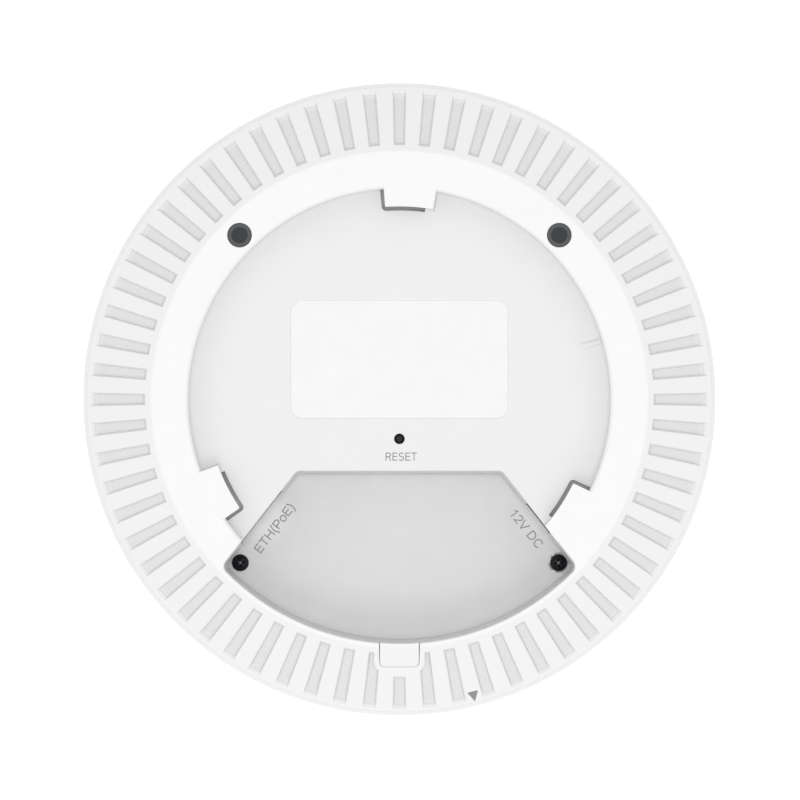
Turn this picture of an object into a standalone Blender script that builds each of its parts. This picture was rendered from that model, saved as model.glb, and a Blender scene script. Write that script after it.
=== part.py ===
"""Ceiling access point, seen from its ceiling side: one assembly of separate pieces.

Frame: metres, +Z points into the ceiling. The contact plane of the back ring is
z = 0 and the body hangs below it. +Y is the side opposite the port bay.
Every number below is in millimetres and is turned into metres when a mesh is made.
"""
import math

import bmesh
import bpy
from mathutils import Matrix, Vector

for _old in list(bpy.data.objects):
    bpy.data.objects.remove(_old, do_unlink=True)

# ----------------------------------------------------------------- dimensions
MM = 0.001
GAP = 0.3                      # clearance between neighbouring pieces

BODY_R = 80.0                  # outside of the front cover
BODY_DEPTH = 33.6              # ceiling plane to the lowest point of the dome
SEGMENTS = 64                  # facets round the body, one centred on each slot

COVER_R = 79.1                 # outside of the rear cover
WALL = 2.0                     # general wall of the rear cover
RING_OUT_R = 62.9              # outer edge of the flat contact ring
RING_IN_R = 54.3               # inner edge of the flat contact ring
RECESS_R = 53.3                # wall of the bracket recess
RECESS_DEPTH = 4.5
SLOPE = math.tan(math.radians(20.0))
SLOPE_WALL = 4.0               # rear cover wall under the slots
COVER_SKIRT_Z = -10.8          # lower edge of the rear cover's side wall

SLOT_COUNT = 64
SLOT_IN_R = 64.4
SLOT_OUT_R = 78.2
SLOT_RAMP_R = 76.9
SLOT_WIDTH_DEG = 2.4
SLOT_DEPTH = 1.65
SHORT_SLOT_IN_R = 70.3         # the slot below the cable exit

TAB_START_DEG = 79.9
TAB_STOP_DEG = 82.3
TAB_END_DEG = 94.3
TAB_GAP_DEG = 95.2
TAB_IN_R = 48.8
TAB_GAP_R = 47.8
TAB_THICK = 1.8
TAB_LAND_DEG = 8.5
POCKET_FLOOR_Z = -7.0          # bottom of the hook pocket under each tab
POCKET_SHEET = 0.9

RIB_DEG = 16.1                 # detent rib on the recess floor
RIB_IN_R = 47.4
RIB_WIDTH = 1.2
RIB_HEIGHT = 0.9

LABEL_W, LABEL_H = 55.2, 30.05
LABEL_CENTRE_Y = 10.1
LABEL_CORNER = 3.0
LABEL_CUT = 2.1
LABEL_POCKET = 0.4
LABEL_THICK = 0.2

BAY_TOP_X, BAY_TOP_Y = 26.0, -18.2     # upper corners of the port bay
BAY_LOW_X, BAY_LOW_Y = 44.8, -42.2     # lower corners of the port bay
BAY_ARC_R = 61.8
BAY_CORNER_R = 2.0
BAY_FLOOR_Z = -18.0
BAY_DRAFT = 0.9
BAY_WALL = 1.3
BAY_SHEET = 1.2
BAY_RIM_Z = -8.6
BAY_SKIRT_Z = -8.3
BAY_SKIRT = 1.5

EXIT_HALF = 4.95               # cable exit cover
EXIT_END_Y = -67.8
EXIT_CORNER = 1.3
EXIT_FLOOR_Z = -6.8
EXIT_KEEP = 1.45

SCREW_X, SCREW_Y = 40.45, 41.55        # the four case screws
HEAD_D, HEAD_H = 4.4, 1.7
SHANK_D = 2.6
POST_TOP_Z = -19.5
POST_D = 6.5
WELL_D = 6.7
WELL_OUT_D = 9.1
WELL_SEAT_Z = -17.7
PLUG_D = 6.1
PLUG_FLAT_D = 4.0
PLUG_LENGTH = 4.2
PLUG_SINK = 0.1

RESET_Y = -10.0
RESET_HOLE_D = 2.65
RESET_PIN_D = 2.0
RESET_TOP_Z = -5.3
RESET_TRAVEL = 0.25

ETH_X, ETH_Y = -35.0, -29.85   # centre of the socket mouth on the bay edge
ETH_WINDOW = 16.9
ETH_W, ETH_L, ETH_H = 16.0, 20.5, 11.0
PORT_SET_BACK = 2.2            # socket faces behind the bay edge
DC_X, DC_Y = 35.15, -30.25
DC_WINDOW = 9.6
DC_W, DC_L, DC_H = 9.0, 14.0, 11.0

BOARD_TOP_Z = -19.5
BOARD_THICK = 1.6
BOARD_R = 70.0
BOARD_BOSSES = ((-61.0, 5.0), (61.0, 5.0), (-20.0, 60.0), (20.0, 60.0))
SINK_LEGS = ((-28.0, 5.0), (28.0, 5.0), (-24.0, 38.0), (24.0, 38.0))

LED_Y = -58.0


# ------------------------------------------------------------------- helpers
def material(name, colour, rough, metal=0.0, clear=0.0):
    made = bpy.data.materials.new(name)
    made.use_nodes = True
    shader = made.node_tree.nodes["Principled BSDF"]
    shader.inputs["Base Color"].default_value = (*colour, 1.0)
    shader.inputs["Roughness"].default_value = rough
    shader.inputs["Metallic"].default_value = metal
    shader.inputs["Transmission Weight"].default_value = clear
    made.diffuse_color = (*colour, 1.0)
    made.roughness = rough
    made.metallic = metal
    return made


def finish(obj, bm):
    bmesh.ops.recalc_face_normals(bm, faces=bm.faces)
    if bm.calc_volume(signed=True) < 0:
        bmesh.ops.reverse_faces(bm, faces=bm.faces)
    bm.to_mesh(obj.data)
    bm.free()
    obj.data.update()
    return obj


def new_object(name):
    obj = bpy.data.objects.new(name, bpy.data.meshes.new(name))
    bpy.context.scene.collection.objects.link(obj)
    return obj


def solid(name, points, faces):
    bm = bmesh.new()
    verts = [bm.verts.new(Vector(p) * MM) for p in points]
    for face in faces:
        bm.faces.new([verts[i] for i in face])
    return finish(new_object(name), bm)


def spin(name, profile, count=SEGMENTS, centre=(0.0, 0.0), outside=True):
    """Closed (r, z) profile turned round a vertical axis. Facet midlines lie on r."""
    grow = 1.0 / math.cos(math.pi / count) if outside else 1.0
    points, rings = [], []
    for r, z in profile:
        if r < 1e-6:
            rings.append([len(points)])
            points.append((centre[0], centre[1], z))
            continue
        ring = []
        for k in range(count):
            a = 2 * math.pi * (k + 0.5) / count
            ring.append(len(points))
            points.append((centre[0] + r * grow * math.cos(a), centre[1] + r * grow * math.sin(a), z))
        rings.append(ring)
    faces = []
    for a, b in zip(rings, rings[1:] + rings[:1]):
        if len(a) == 1 and len(b) == 1:
            continue
        for k in range(count):
            m = (k + 1) % count
            if len(a) == 1:
                faces.append((a[0], b[m], b[k]))
            elif len(b) == 1:
                faces.append((a[k], a[m], b[0]))
            else:
                faces.append((a[k], a[m], b[m], b[k]))
    return solid(name, points, faces)


def prism(name, outline, z0, z1):
    return loft(name, outline, z0, outline, z1)


def loft(name, low, z0, high, z1):
    n = len(low)
    points = [(x, y, z0) for x, y in low] + [(x, y, z1) for x, y in high]
    faces = [tuple(range(n - 1, -1, -1)), tuple(range(n, 2 * n))]
    faces += [(k, (k + 1) % n, n + (k + 1) % n, n + k) for k in range(n)]
    return solid(name, points, faces)


def box(name, x0, x1, y0, y1, z0, z1):
    return prism(name, [(x0, y0), (x1, y0), (x1, y1), (x0, y1)], z0, z1)


def cylinder(name, x, y, d, z0, z1, count=24, start=0.5):
    ring = [
        (x + d / 2 * math.cos(2 * math.pi * (k + start) / count), y + d / 2 * math.sin(2 * math.pi * (k + start) / count))
        for k in range(count)
    ]
    return prism(name, ring, z0, z1)


def extruded(name, section, x0, x1):
    """A (y, z) section drawn out along X."""
    n = len(section)
    points = [(x0, y, z) for y, z in section] + [(x1, y, z) for y, z in section]
    faces = [tuple(range(n - 1, -1, -1)), tuple(range(n, 2 * n))]
    faces += [(k, (k + 1) % n, n + (k + 1) % n, n + k) for k in range(n)]
    return solid(name, points, faces)


def turned(obj, x, y, degrees, z=0.0):
    """Bakes a turn about Z and then a shift into the mesh."""
    obj.data.transform(Matrix.Translation(Vector((x, y, z)) * MM) @ Matrix.Rotation(math.radians(degrees), 4, "Z"))
    return obj


def origin_at(obj, x, y, z):
    obj.data.transform(Matrix.Translation(Vector((-x, -y, -z)) * MM))
    obj.location = Vector((x, y, z)) * MM
    return obj


def stitch(mesh):
    """Closes the open T-junctions that an exact Boolean can leave along one straight edge."""
    bm = bmesh.new()
    bm.from_mesh(mesh)
    for _round in range(4):
        loose = [e for e in bm.edges if len(e.link_faces) == 1]
        if not loose:
            break
        corners = {v for e in loose for v in e.verts}
        done = False
        for edge in loose:
            a, b = edge.verts
            along = b.co - a.co
            for v in corners:
                if v in (a, b) or along.length < 1e-9:
                    continue
                t = (v.co - a.co).dot(along) / along.length_squared
                if 0.0 < t < 1.0 and (a.co + along * t - v.co).length < 0.005 * MM:
                    made = bmesh.utils.edge_split(edge, a, t)[1]
                    made.co = v.co
                    done = True
                    break
            if done:
                break
        bmesh.ops.remove_doubles(bm, verts=bm.verts, dist=0.0005 * MM)
        if not done:
            break
    bm.to_mesh(mesh)
    bm.free()


def three_sided(mesh):
    bm = bmesh.new()
    bm.from_mesh(mesh)
    bmesh.ops.remove_doubles(bm, verts=bm.verts, dist=0.001 * MM)
    bmesh.ops.triangulate(bm, faces=bm.faces)
    bm.to_mesh(mesh)
    bm.free()


def combine(obj, other, operation):
    """Applies one exact Boolean and drops the cutter."""
    other.hide_render = True
    other.display_type = "WIRE"
    step = obj.modifiers.new(operation.lower(), "BOOLEAN")
    step.operation = operation
    step.solver = "EXACT"
    step.object = other
    bpy.context.view_layer.update()
    graph = bpy.context.evaluated_depsgraph_get()
    mesh = bpy.data.meshes.new_from_object(obj.evaluated_get(graph))
    if not mesh.polygons:                  # long many-sided faces can defeat the solver
        three_sided(obj.data)
        three_sided(other.data)
        bpy.context.view_layer.update()
        graph = bpy.context.evaluated_depsgraph_get()
        mesh = bpy.data.meshes.new_from_object(obj.evaluated_get(graph))
    stitch(mesh)
    old = obj.data
    obj.modifiers.clear()
    obj.data = mesh
    mesh.name = obj.name
    bpy.data.meshes.remove(old)
    cutter = other.data
    bpy.data.objects.remove(other, do_unlink=True)
    bpy.data.meshes.remove(cutter)
    return obj


def cut(obj, *others):
    for other in others:
        combine(obj, other, "DIFFERENCE")
    return obj


def join(obj, *others):
    for other in others:
        combine(obj, other, "UNION")
    return obj


def keep(obj, *others):
    for other in others:
        combine(obj, other, "INTERSECT")
    return obj


def tidy(obj):
    """Welds the slivers that exact Booleans leave and flattens coplanar faces."""
    bm = bmesh.new()
    bm.from_mesh(obj.data)
    bmesh.ops.remove_doubles(bm, verts=bm.verts, dist=0.002 * MM)
    bmesh.ops.dissolve_degenerate(bm, dist=0.002 * MM, edges=bm.edges)
    bmesh.ops.dissolve_limit(bm, angle_limit=math.radians(0.05), verts=bm.verts, edges=bm.edges)
    bmesh.ops.triangulate(bm, faces=[f for f in bm.faces if len(f.verts) > 4])
    bm.to_mesh(obj.data)
    bm.free()
    return obj


def paint(obj, look):
    obj.data.materials.clear()
    obj.data.materials.append(look)
    for face in obj.data.polygons:
        face.use_smooth = False
    return obj


def slope_z(r):
    return -(r - RING_OUT_R) * SLOPE


def arc(centre, radius, a0, a1, steps):
    return [
        (centre[0] + radius * math.cos(a0 + (a1 - a0) * k / steps), centre[1] + radius * math.sin(a0 + (a1 - a0) * k / steps))
        for k in range(steps + 1)
    ]


def sector(name, r0, r1, deg0, deg1, z0, z1, steps=4):
    low = [math.radians(deg0 + (deg1 - deg0) * k / steps) for k in range(steps + 1)]
    ring = [(r1 * math.cos(a), r1 * math.sin(a)) for a in low]
    ring += [(r0 * math.cos(a), r0 * math.sin(a)) for a in reversed(low)]
    return prism(name, ring, z0, z1)


# The port bay outline: a flat top, two slanted sides and an arc about the body
# axis. d is how far the outline is moved into the bay.
_side = Vector((-(BAY_LOW_X - BAY_TOP_X), BAY_LOW_Y - BAY_TOP_Y)).normalized()
_into = Vector((-_side.y, _side.x))            # normal of the left side, into the bay
_top_corner = Vector((-BAY_TOP_X, BAY_TOP_Y))


def _left_line_point(distance_in, y):
    """x on the line parallel to the left side, distance_in into the bay."""
    base = _top_corner + _into * distance_in
    t = (y - base.y) / _side.y
    return base.x + _side.x * t


_ct = Vector((_left_line_point(BAY_CORNER_R, BAY_TOP_Y - BAY_CORNER_R), BAY_TOP_Y - BAY_CORNER_R))
_base = _top_corner + _into * BAY_CORNER_R
_b = 2 * _base.dot(_side)
_c = _base.dot(_base) - (BAY_ARC_R - BAY_CORNER_R) ** 2
_t = (-_b + math.sqrt(_b * _b - 4 * _c)) / 2
_cb = _base + _side * _t
_side_angle = math.atan2(-_into.y, -_into.x)   # direction from a corner centre to the side
_low_angle = math.atan2(_cb.y, _cb.x)


def bay_outline(d, windows=None, at_window=0.0, arc_steps=16):
    """Counter-clockwise outline. Windows put a step into the two slanted sides."""
    r = BAY_CORNER_R - d
    left = arc((_ct.x, _ct.y), r, math.pi / 2, _side_angle % (2 * math.pi), 4)
    if windows:
        centre, width = windows[0]
        for along, off in ((-width / 2, d), (-width / 2, at_window), (width / 2, at_window), (width / 2, d)):
            p = Vector(centre) + _side * along
            p = p + _into * (off - (p - _top_corner).dot(_into))
            left.append((p.x, p.y))
    left += arc((_cb.x, _cb.y), r, _side_angle % (2 * math.pi), _low_angle % (2 * math.pi), 4)
    right = arc((_ct.x, _ct.y), r, math.pi / 2, _side_angle % (2 * math.pi), 4)
    if windows:
        centre, width = windows[1]
        mirrored = Vector((-centre[0], centre[1]))
        for along, off in ((-width / 2, d), (-width / 2, at_window), (width / 2, at_window), (width / 2, d)):
            p = mirrored + _side * along
            p = p + _into * (off - (p - _top_corner).dot(_into))
            right.append((p.x, p.y))
    right += arc((_cb.x, _cb.y), r, _side_angle % (2 * math.pi), _low_angle % (2 * math.pi), 4)
    right = [(-x, y) for x, y in reversed(right)]
    low = _low_angle % (2 * math.pi)
    bottom = arc((0, 0), BAY_ARC_R - d, low, 3 * math.pi - low, arc_steps)[1:-1]
    return left + bottom + right


PORT_ANGLE = math.degrees(math.atan2(-_into.y, -_into.x))      # left socket, away from the bay
PORT_ANGLE_RIGHT = math.degrees(math.atan2(-_into.y, _into.x))  # right socket, away from the bay


def exit_outline(half, end_y, corner, start_y, steps=4):
    left = arc((-half + corner, end_y + corner), corner, math.pi, 1.5 * math.pi, steps)
    right = arc((half - corner, end_y + corner), corner, 1.5 * math.pi, 2 * math.pi, steps)
    return [(-half, start_y)] + left + right + [(half, start_y)]


def cross_recess(obj, x, y, top, size=2.3, width=0.55, depth=0.9):
    cut(obj, box("cross_a", x - size / 2, x + size / 2, y - width / 2, y + width / 2, top - depth, top + 1))
    cut(obj, box("cross_b", x - width / 2, x + width / 2, y - size / 2, y + size / 2, top - depth, top + 1))
    return obj


def pan_screw(name, x, y, seat_z, head_d, head_h, shank_d, length, look, count=16, up=True):
    """A pan-head screw. The head lies above seat_z when up is True, and below otherwise."""
    s = 1 if up else -1
    profile = [
        (0, seat_z + s * head_h),
        (head_d * 0.30, seat_z + s * head_h * 0.97),
        (head_d * 0.44, seat_z + s * head_h * 0.75),
        (head_d * 0.50, seat_z + s * head_h * 0.35),
        (head_d * 0.50, seat_z),
        (shank_d * 0.5, seat_z),
        (shank_d * 0.5, seat_z - s * (length - 0.8)),
        (shank_d * 0.25, seat_z - s * length),
        (0, seat_z - s * length),
    ]
    return paint(spin(name, profile, count, (x, y)), look)


# ----------------------------------------------------------------- materials
WHITE = material("white_abs", (0.80, 0.80, 0.79), 0.42)
GREY = material("grey_abs", (0.52, 0.53, 0.54), 0.50)
LABEL = material("label_film", (0.82, 0.82, 0.81), 0.60)
RUBBER = material("dark_rubber", (0.08, 0.082, 0.085), 0.70)
BLACK_STEEL = material("black_steel", (0.02, 0.02, 0.022), 0.38, 0.7)
STEEL = material("zinc_steel", (0.60, 0.60, 0.62), 0.35, 1.0)
SHELL = material("tinned_shell", (0.68, 0.68, 0.70), 0.28, 1.0)
BLACK = material("black_nylon", (0.03, 0.03, 0.032), 0.50)
GOLD = material("gold_contact", (0.85, 0.62, 0.25), 0.25, 1.0)
BOARD = material("board_green", (0.03, 0.16, 0.08), 0.45)
CHIP = material("chip_black", (0.025, 0.025, 0.028), 0.55)
SINK = material("aluminium", (0.72, 0.72, 0.73), 0.42, 1.0)
PAD = material("thermal_pad", (0.42, 0.50, 0.60), 0.80)
FERRITE = material("ferrite", (0.10, 0.10, 0.11), 0.65)
COPPER = material("antenna_tin", (0.70, 0.69, 0.64), 0.32, 1.0)
SLEEVE = material("capacitor_sleeve", (0.05, 0.08, 0.20), 0.40)
CLEAR = material("clear_acrylic", (0.90, 0.92, 0.93), 0.12, 0.0, 0.8)
LED_WHITE = material("led_package", (0.85, 0.84, 0.70), 0.30)


# ---------------------------------------------------------------- rear cover
rear = spin(
    "rear_cover",
    [
        (0.0, -RECESS_DEPTH),
        (RECESS_R - 0.5, -RECESS_DEPTH),
        (RECESS_R, -RECESS_DEPTH + 0.5),
        (RECESS_R, -1.0),
        (RECESS_R + 0.3, -0.3),
        (RING_IN_R, 0.0),
        (RING_OUT_R, 0.0),
        (COVER_R - 0.6, slope_z(COVER_R - 0.6)),
        (COVER_R, slope_z(COVER_R) - 0.5),
        (COVER_R, COVER_SKIRT_Z),
        (COVER_R - 1.8, COVER_SKIRT_Z),
        (COVER_R - 1.8, slope_z(COVER_R - 1.8) - SLOPE_WALL),
        (RING_OUT_R - 0.5, slope_z(RING_OUT_R - 0.5) - SLOPE_WALL),
        (RING_OUT_R - 1.5, -WALL),
        (RECESS_R + WALL, -WALL),
        (RECESS_R + WALL, -RECESS_DEPTH - WALL),
        (0.0, -RECESS_DEPTH - WALL),
    ],
)
RECESS_UNDER = -RECESS_DEPTH - WALL

_x, _yt, _yb = LABEL_W / 2, LABEL_CENTRE_Y + LABEL_H / 2, LABEL_CENTRE_Y - LABEL_H / 2


def label_outline(d):
    c = LABEL_CORNER
    points = arc((-_x + c, _yb + c), c - d, math.pi, 1.5 * math.pi, 4)
    points += arc((_x - c, _yb + c), c - d, 1.5 * math.pi, 2 * math.pi, 4)
    points += arc((_x - c, _yt - c), c - d, 0, 0.5 * math.pi, 4)
    k = d * (math.sqrt(2) - 1)
    points += [(-_x + LABEL_CUT + k, _yt - d), (-_x + d, _yt - LABEL_CUT - k)]
    return points


cut(rear, prism("label_pocket", label_outline(0.0), -RECESS_DEPTH - LABEL_POCKET, 2.0))

# skirt round the bay opening and round the cable exit pocket, kept out of the recess
skirt = prism("skirt", bay_outline(-BAY_SKIRT), BAY_SKIRT_Z, -1.0)
join(skirt, box("exit_block", -EXIT_HALF - 1.8, EXIT_HALF + 1.8, EXIT_END_Y - 1.8, -58.0, BAY_SKIRT_Z, -3.0))
cut(skirt, cylinder("recess_keep", 0, 0, 2 * (RECESS_R + 0.7), -RECESS_DEPTH - 0.6, 1.0, 64))
join(rear, skirt)

# wells that hold the two upper case screws
for sx in (-1, 1):
    join(rear, cylinder("well", sx * SCREW_X, SCREW_Y, WELL_OUT_D, POST_TOP_Z + GAP, -1.0))
# guide tube of the reset button
join(rear, cylinder("guide", 0, RESET_Y, 6.6, -9.8, RECESS_UNDER + 0.8, 20))

# three bayonet tabs with their stop walls, and a closed pocket under each for the hook
# beside the power socket the closed end of the third tab runs on to the bay at full height
for k in range(3):
    turn = 120 * k
    start = TAB_START_DEG + turn - (TAB_LAND_DEG if k == 2 else 0)
    join(
        rear,
        sector("pocket_block", TAB_GAP_R - 1.2, RECESS_R + 0.9, TAB_STOP_DEG - 1.3 + turn, TAB_GAP_DEG + 1.4 + turn, POCKET_FLOOR_Z - POCKET_SHEET, RECESS_UNDER + 0.9),
    )
    join(
        rear,
        sector("tab", TAB_IN_R, RECESS_R + 1.6, start, TAB_END_DEG + turn, -TAB_THICK, 0.0),
    )
    join(
        rear,
        sector("stop", TAB_IN_R, RECESS_R + 1.2, start, TAB_STOP_DEG + turn, -RECESS_DEPTH - 0.8, -0.6, 2),
    )
    cut(
        rear,
        sector("window", TAB_GAP_R, RECESS_R - 0.05, TAB_STOP_DEG + turn, TAB_GAP_DEG + turn, POCKET_FLOOR_Z, -TAB_THICK - 0.25),
    )

# detent rib
join(
    rear,
    turned(box("rib", RIB_IN_R, RECESS_R + 0.93, -RIB_WIDTH / 2, RIB_WIDTH / 2, -RECESS_DEPTH - 0.63, -RECESS_DEPTH + RIB_HEIGHT), 0, 0, RIB_DEG),
)

# openings
cut(rear, prism("bay", bay_outline(0.0), -12.0, 2.0))
cut(rear, prism("notch", exit_outline(EXIT_HALF + GAP, EXIT_END_Y - GAP, EXIT_CORNER + GAP, -59.5), EXIT_FLOOR_Z, 2.0))
for x, y, angle, width in ((ETH_X, ETH_Y, PORT_ANGLE, ETH_WINDOW), (DC_X, DC_Y, PORT_ANGLE_RIGHT, DC_WINDOW)):
    cut(rear, turned(box("port", -1.5, 3.0, -width / 2, width / 2, -12.0, RECESS_UNDER), x, y, angle))
for sx in (-1, 1):
    cut(rear, cylinder("bore", sx * SCREW_X, SCREW_Y, WELL_D, WELL_SEAT_Z, 2.0, 24))
    cut(rear, cylinder("bore", sx * SCREW_X, SCREW_Y, SHANK_D + 2 * GAP, -22.0, -15.0, 16))
cut(rear, cylinder("reset_hole", 0, RESET_Y, RESET_HOLE_D, -8.0, 2.0, 20))
cut(rear, cylinder("reset_bore", 0, RESET_Y, 5.0, -12.0, RECESS_UNDER, 20))

# radial slots: radial sides, a floor parallel to the slope and a ramp at the outer end
def slots():
    half = math.radians(SLOT_WIDTH_DEG / 2)
    points, faces = [], []
    for k in range(SLOT_COUNT):
        a = 2 * math.pi * k / SLOT_COUNT
        start = SHORT_SLOT_IN_R if k == SLOT_COUNT * 3 // 4 else SLOT_IN_R
        section = [
            (start, 1.0),
            (start, slope_z(start) - SLOT_DEPTH),
            (SLOT_RAMP_R, slope_z(SLOT_RAMP_R) - SLOT_DEPTH),
            (SLOT_OUT_R, slope_z(SLOT_OUT_R) + 0.02),
            (SLOT_OUT_R, 1.0),
        ]
        n = len(section)
        base = len(points)
        for side in (-half, half):
            for r, z in section:
                points.append((r * math.cos(a + side), r * math.sin(a + side), z))
        faces.append(tuple(base + j for j in range(n)))
        faces.append(tuple(base + n + j for j in reversed(range(n))))
        faces += [(base + j, base + n + j, base + n + (j + 1) % n, base + (j + 1) % n) for j in range(n)]
    return solid("slots", points, faces)


slot_set = slots()
cut(
    slot_set,
    prism("exit_keep", exit_outline(EXIT_HALF + EXIT_KEEP, EXIT_END_Y - EXIT_KEEP, EXIT_CORNER + EXIT_KEEP, -60.0), -9.0, 3.0),
)
cut(rear, slot_set)
paint(tidy(rear), WHITE)

# ------------------------------------------------------------------ port bay
windows = (((ETH_X, ETH_Y), ETH_WINDOW), ((DC_X, DC_Y), DC_WINDOW))
bay = prism("port_bay", bay_outline(-BAY_WALL), BAY_FLOOR_Z - BAY_SHEET, BAY_RIM_Z)
_slope_out = BAY_DRAFT / (BAY_RIM_Z - BAY_FLOOR_Z)
_over = 1.0
cut(
    bay,
    loft(
        "bay_inside",
        bay_outline(BAY_DRAFT, windows, -0.12),
        BAY_FLOOR_Z,
        bay_outline(-_slope_out * _over, windows, -0.12),
        BAY_RIM_Z + _over,
    ),
)
for x, y, angle, width in ((ETH_X, ETH_Y, PORT_ANGLE, ETH_WINDOW), (DC_X, DC_Y, PORT_ANGLE_RIGHT, DC_WINDOW)):
    cut(bay, turned(box("port", 0.0, 4.0, -width / 2, width / 2, -22.0, -4.0), x, y, angle))
for sx in (-1, 1):
    cut(bay, cylinder("seat", sx * SCREW_X, -SCREW_Y, HEAD_D + 2 * GAP, BAY_FLOOR_Z - 0.25, -4.0, 24, 0.31))
    cut(bay, cylinder("bore", sx * SCREW_X, -SCREW_Y, SHANK_D + 2 * GAP, -22.0, -15.0, 16, 0.31))
paint(tidy(bay), GREY)

# --------------------------------------------------------------- front cover
front = spin(
    "front_cover",
    [
        (79.4, -6.5),
        (79.7, -6.3),
        (BODY_R, -6.7),
        (BODY_R, -11.5),
        (79.4, -16.0),
        (77.2, -21.4),
        (72.3, -26.3),
        (64.0, -30.1),
        (50.0, -32.4),
        (25.0, -33.4),
        (0.0, -BODY_DEPTH),
        (0.0, -31.6),
        (48.0, -30.6),
        (61.0, -28.6),
        (69.5, -25.2),
        (75.2, -19.6),
        (77.6, -13.5),
        (77.6, -11.1),
        (79.4, -11.1),
    ],
)
for sx in (-1, 1):
    for sy in (-1, 1):
        join(front, cylinder("post", sx * SCREW_X, sy * SCREW_Y, POST_D, -30.3, POST_TOP_Z, 20))
for x, y in BOARD_BOSSES:
    join(front, cylinder("boss", x, y, 5.6, -29.0, BOARD_TOP_Z - BOARD_THICK - GAP, 16))
for sx in (-1, 1):
    for sy in (-1, 1):
        cut(front, cylinder("bore", sx * SCREW_X, sy * SCREW_Y, SHANK_D + 2 * GAP, -28.6, -15.0, 16))
for x, y in BOARD_BOSSES:
    cut(front, cylinder("bore", x, y, 2.6, -27.4, -15.0, 12))
cut(front, cylinder("lens_hole", 0, LED_Y, 3.6, -40.0, -20.0, 20))
paint(tidy(front), WHITE)

# ---------------------------------------------------------- cable exit cover
lid_outline = exit_outline(EXIT_HALF, EXIT_END_Y, EXIT_CORNER, -59.0)
lid = prism("cable_exit_cover", lid_outline, EXIT_FLOOR_Z + GAP, 1.0)
keep(
    lid,
    extruded(
        "lid_top",
        [
            (-50.0, -12.0),
            (-80.0, -12.0),
            (-80.0, slope_z(80.0)),
            (-RING_OUT_R, 0.0),
            (-50.0, 0.0),
        ],
        -12.0,
        12.0,
    ),
)
cut(lid, cylinder("bay_side", 0, 0, 2 * BAY_ARC_R, -12.0, 3.0, 96))
cut(
    lid,
    extruded(
        "lid_hollow",
        [(-63.4, -12.0), (-66.3, -12.0), (-66.3, slope_z(66.3) - 1.6), (-63.4, -1.8)],
        -EXIT_HALF + 1.3,
        EXIT_HALF - 1.3,
    ),
)
paint(origin_at(tidy(lid), 0.0, -64.8, -3.2), WHITE)

# --------------------------------------------------------------------- plugs
for side, sx in (("left", -1), ("right", 1)):
    plug = spin(
        "screw_plug_" + side,
        [
            (0.0, -PLUG_SINK),
            (PLUG_FLAT_D / 2, -PLUG_SINK),
            (PLUG_D / 2 - 0.35, -PLUG_SINK - 0.12),
            (PLUG_D / 2, -PLUG_SINK - 0.5),
            (PLUG_D / 2, -1.5),
            (PLUG_D / 2 - 0.3, -1.8),
            (PLUG_D / 2 - 0.3, -PLUG_LENGTH + 0.4),
            (PLUG_D / 2 - 0.8, -PLUG_LENGTH),
            (0.0, -PLUG_LENGTH),
        ],
        24,
        (sx * SCREW_X, SCREW_Y),
    )
    paint(origin_at(plug, sx * SCREW_X, SCREW_Y, 0.0), RUBBER)

# -------------------------------------------------------------------- screws
for side, sx in (("left", -1), ("right", 1)):
    low = pan_screw("bay_screw_" + side, sx * SCREW_X, -SCREW_Y, BAY_FLOOR_Z + 0.05, HEAD_D, HEAD_H, SHANK_D, 10.0, BLACK_STEEL, 20)
    cross_recess(low, sx * SCREW_X, -SCREW_Y, BAY_FLOOR_Z + 0.05 + HEAD_H)
    paint(tidy(low), BLACK_STEEL)
    pan_screw("cover_screw_" + side, sx * SCREW_X, SCREW_Y, WELL_SEAT_Z + GAP, HEAD_D, HEAD_H, SHANK_D, 10.0, BLACK_STEEL, 16)
for k, (x, y) in enumerate(BOARD_BOSSES):
    pan_screw("board_screw_%d" % (k + 1), x, y, BOARD_TOP_Z + GAP, 4.4, 1.5, 2.0, 7.5, STEEL, 12)

# -------------------------------------------------------------- reset button
button = spin(
    "reset_button",
    [
        (0.0, RESET_TOP_Z),
        (RESET_PIN_D / 2 - 0.2, RESET_TOP_Z),
        (RESET_PIN_D / 2, RESET_TOP_Z - 0.2),
        (RESET_PIN_D / 2, -7.3),
        (2.15, -7.3),
        (2.15, -8.5),
        (1.2, -8.5),
        (1.2, -15.9),
        (0.0, -15.9),
    ],
    20,
    (0.0, RESET_Y),
)
paint(origin_at(button, 0.0, RESET_Y, RESET_TOP_Z), BLACK)
switch = box("reset_switch", -2.6, 2.6, RESET_Y - 2.6, RESET_Y + 2.6, BOARD_TOP_Z + GAP, -17.0)
join(switch, cylinder("actuator", 0, RESET_Y, 2.6, -18.0, -16.2, 16))
paint(tidy(switch), CHIP)

# --------------------------------------------------------------------- label
paint(
    prism(
        "rating_label",
        label_outline(0.3),
        -RECESS_DEPTH - LABEL_POCKET + 0.1,
        -RECESS_DEPTH - LABEL_POCKET + 0.1 + LABEL_THICK,
    ),
    LABEL,
)

# ------------------------------------------------------------- ethernet jack
# Local axes: +X runs from the bay into the body, Y across, Z up. x = 0 is the bay edge.
_zb = BOARD_TOP_Z + GAP
_face = PORT_SET_BACK
shell = box("ethernet_jack_shell", _face, _face + ETH_L, -ETH_W / 2, ETH_W / 2, _zb, _zb + ETH_H)
cut(shell, box("inside", _face - 1, _face + ETH_L - 0.4, -ETH_W / 2 + 0.4, ETH_W / 2 - 0.4, _zb + 0.4, _zb + ETH_H - 0.4))
paint(turned(shell, ETH_X, ETH_Y, PORT_ANGLE), SHELL)

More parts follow.
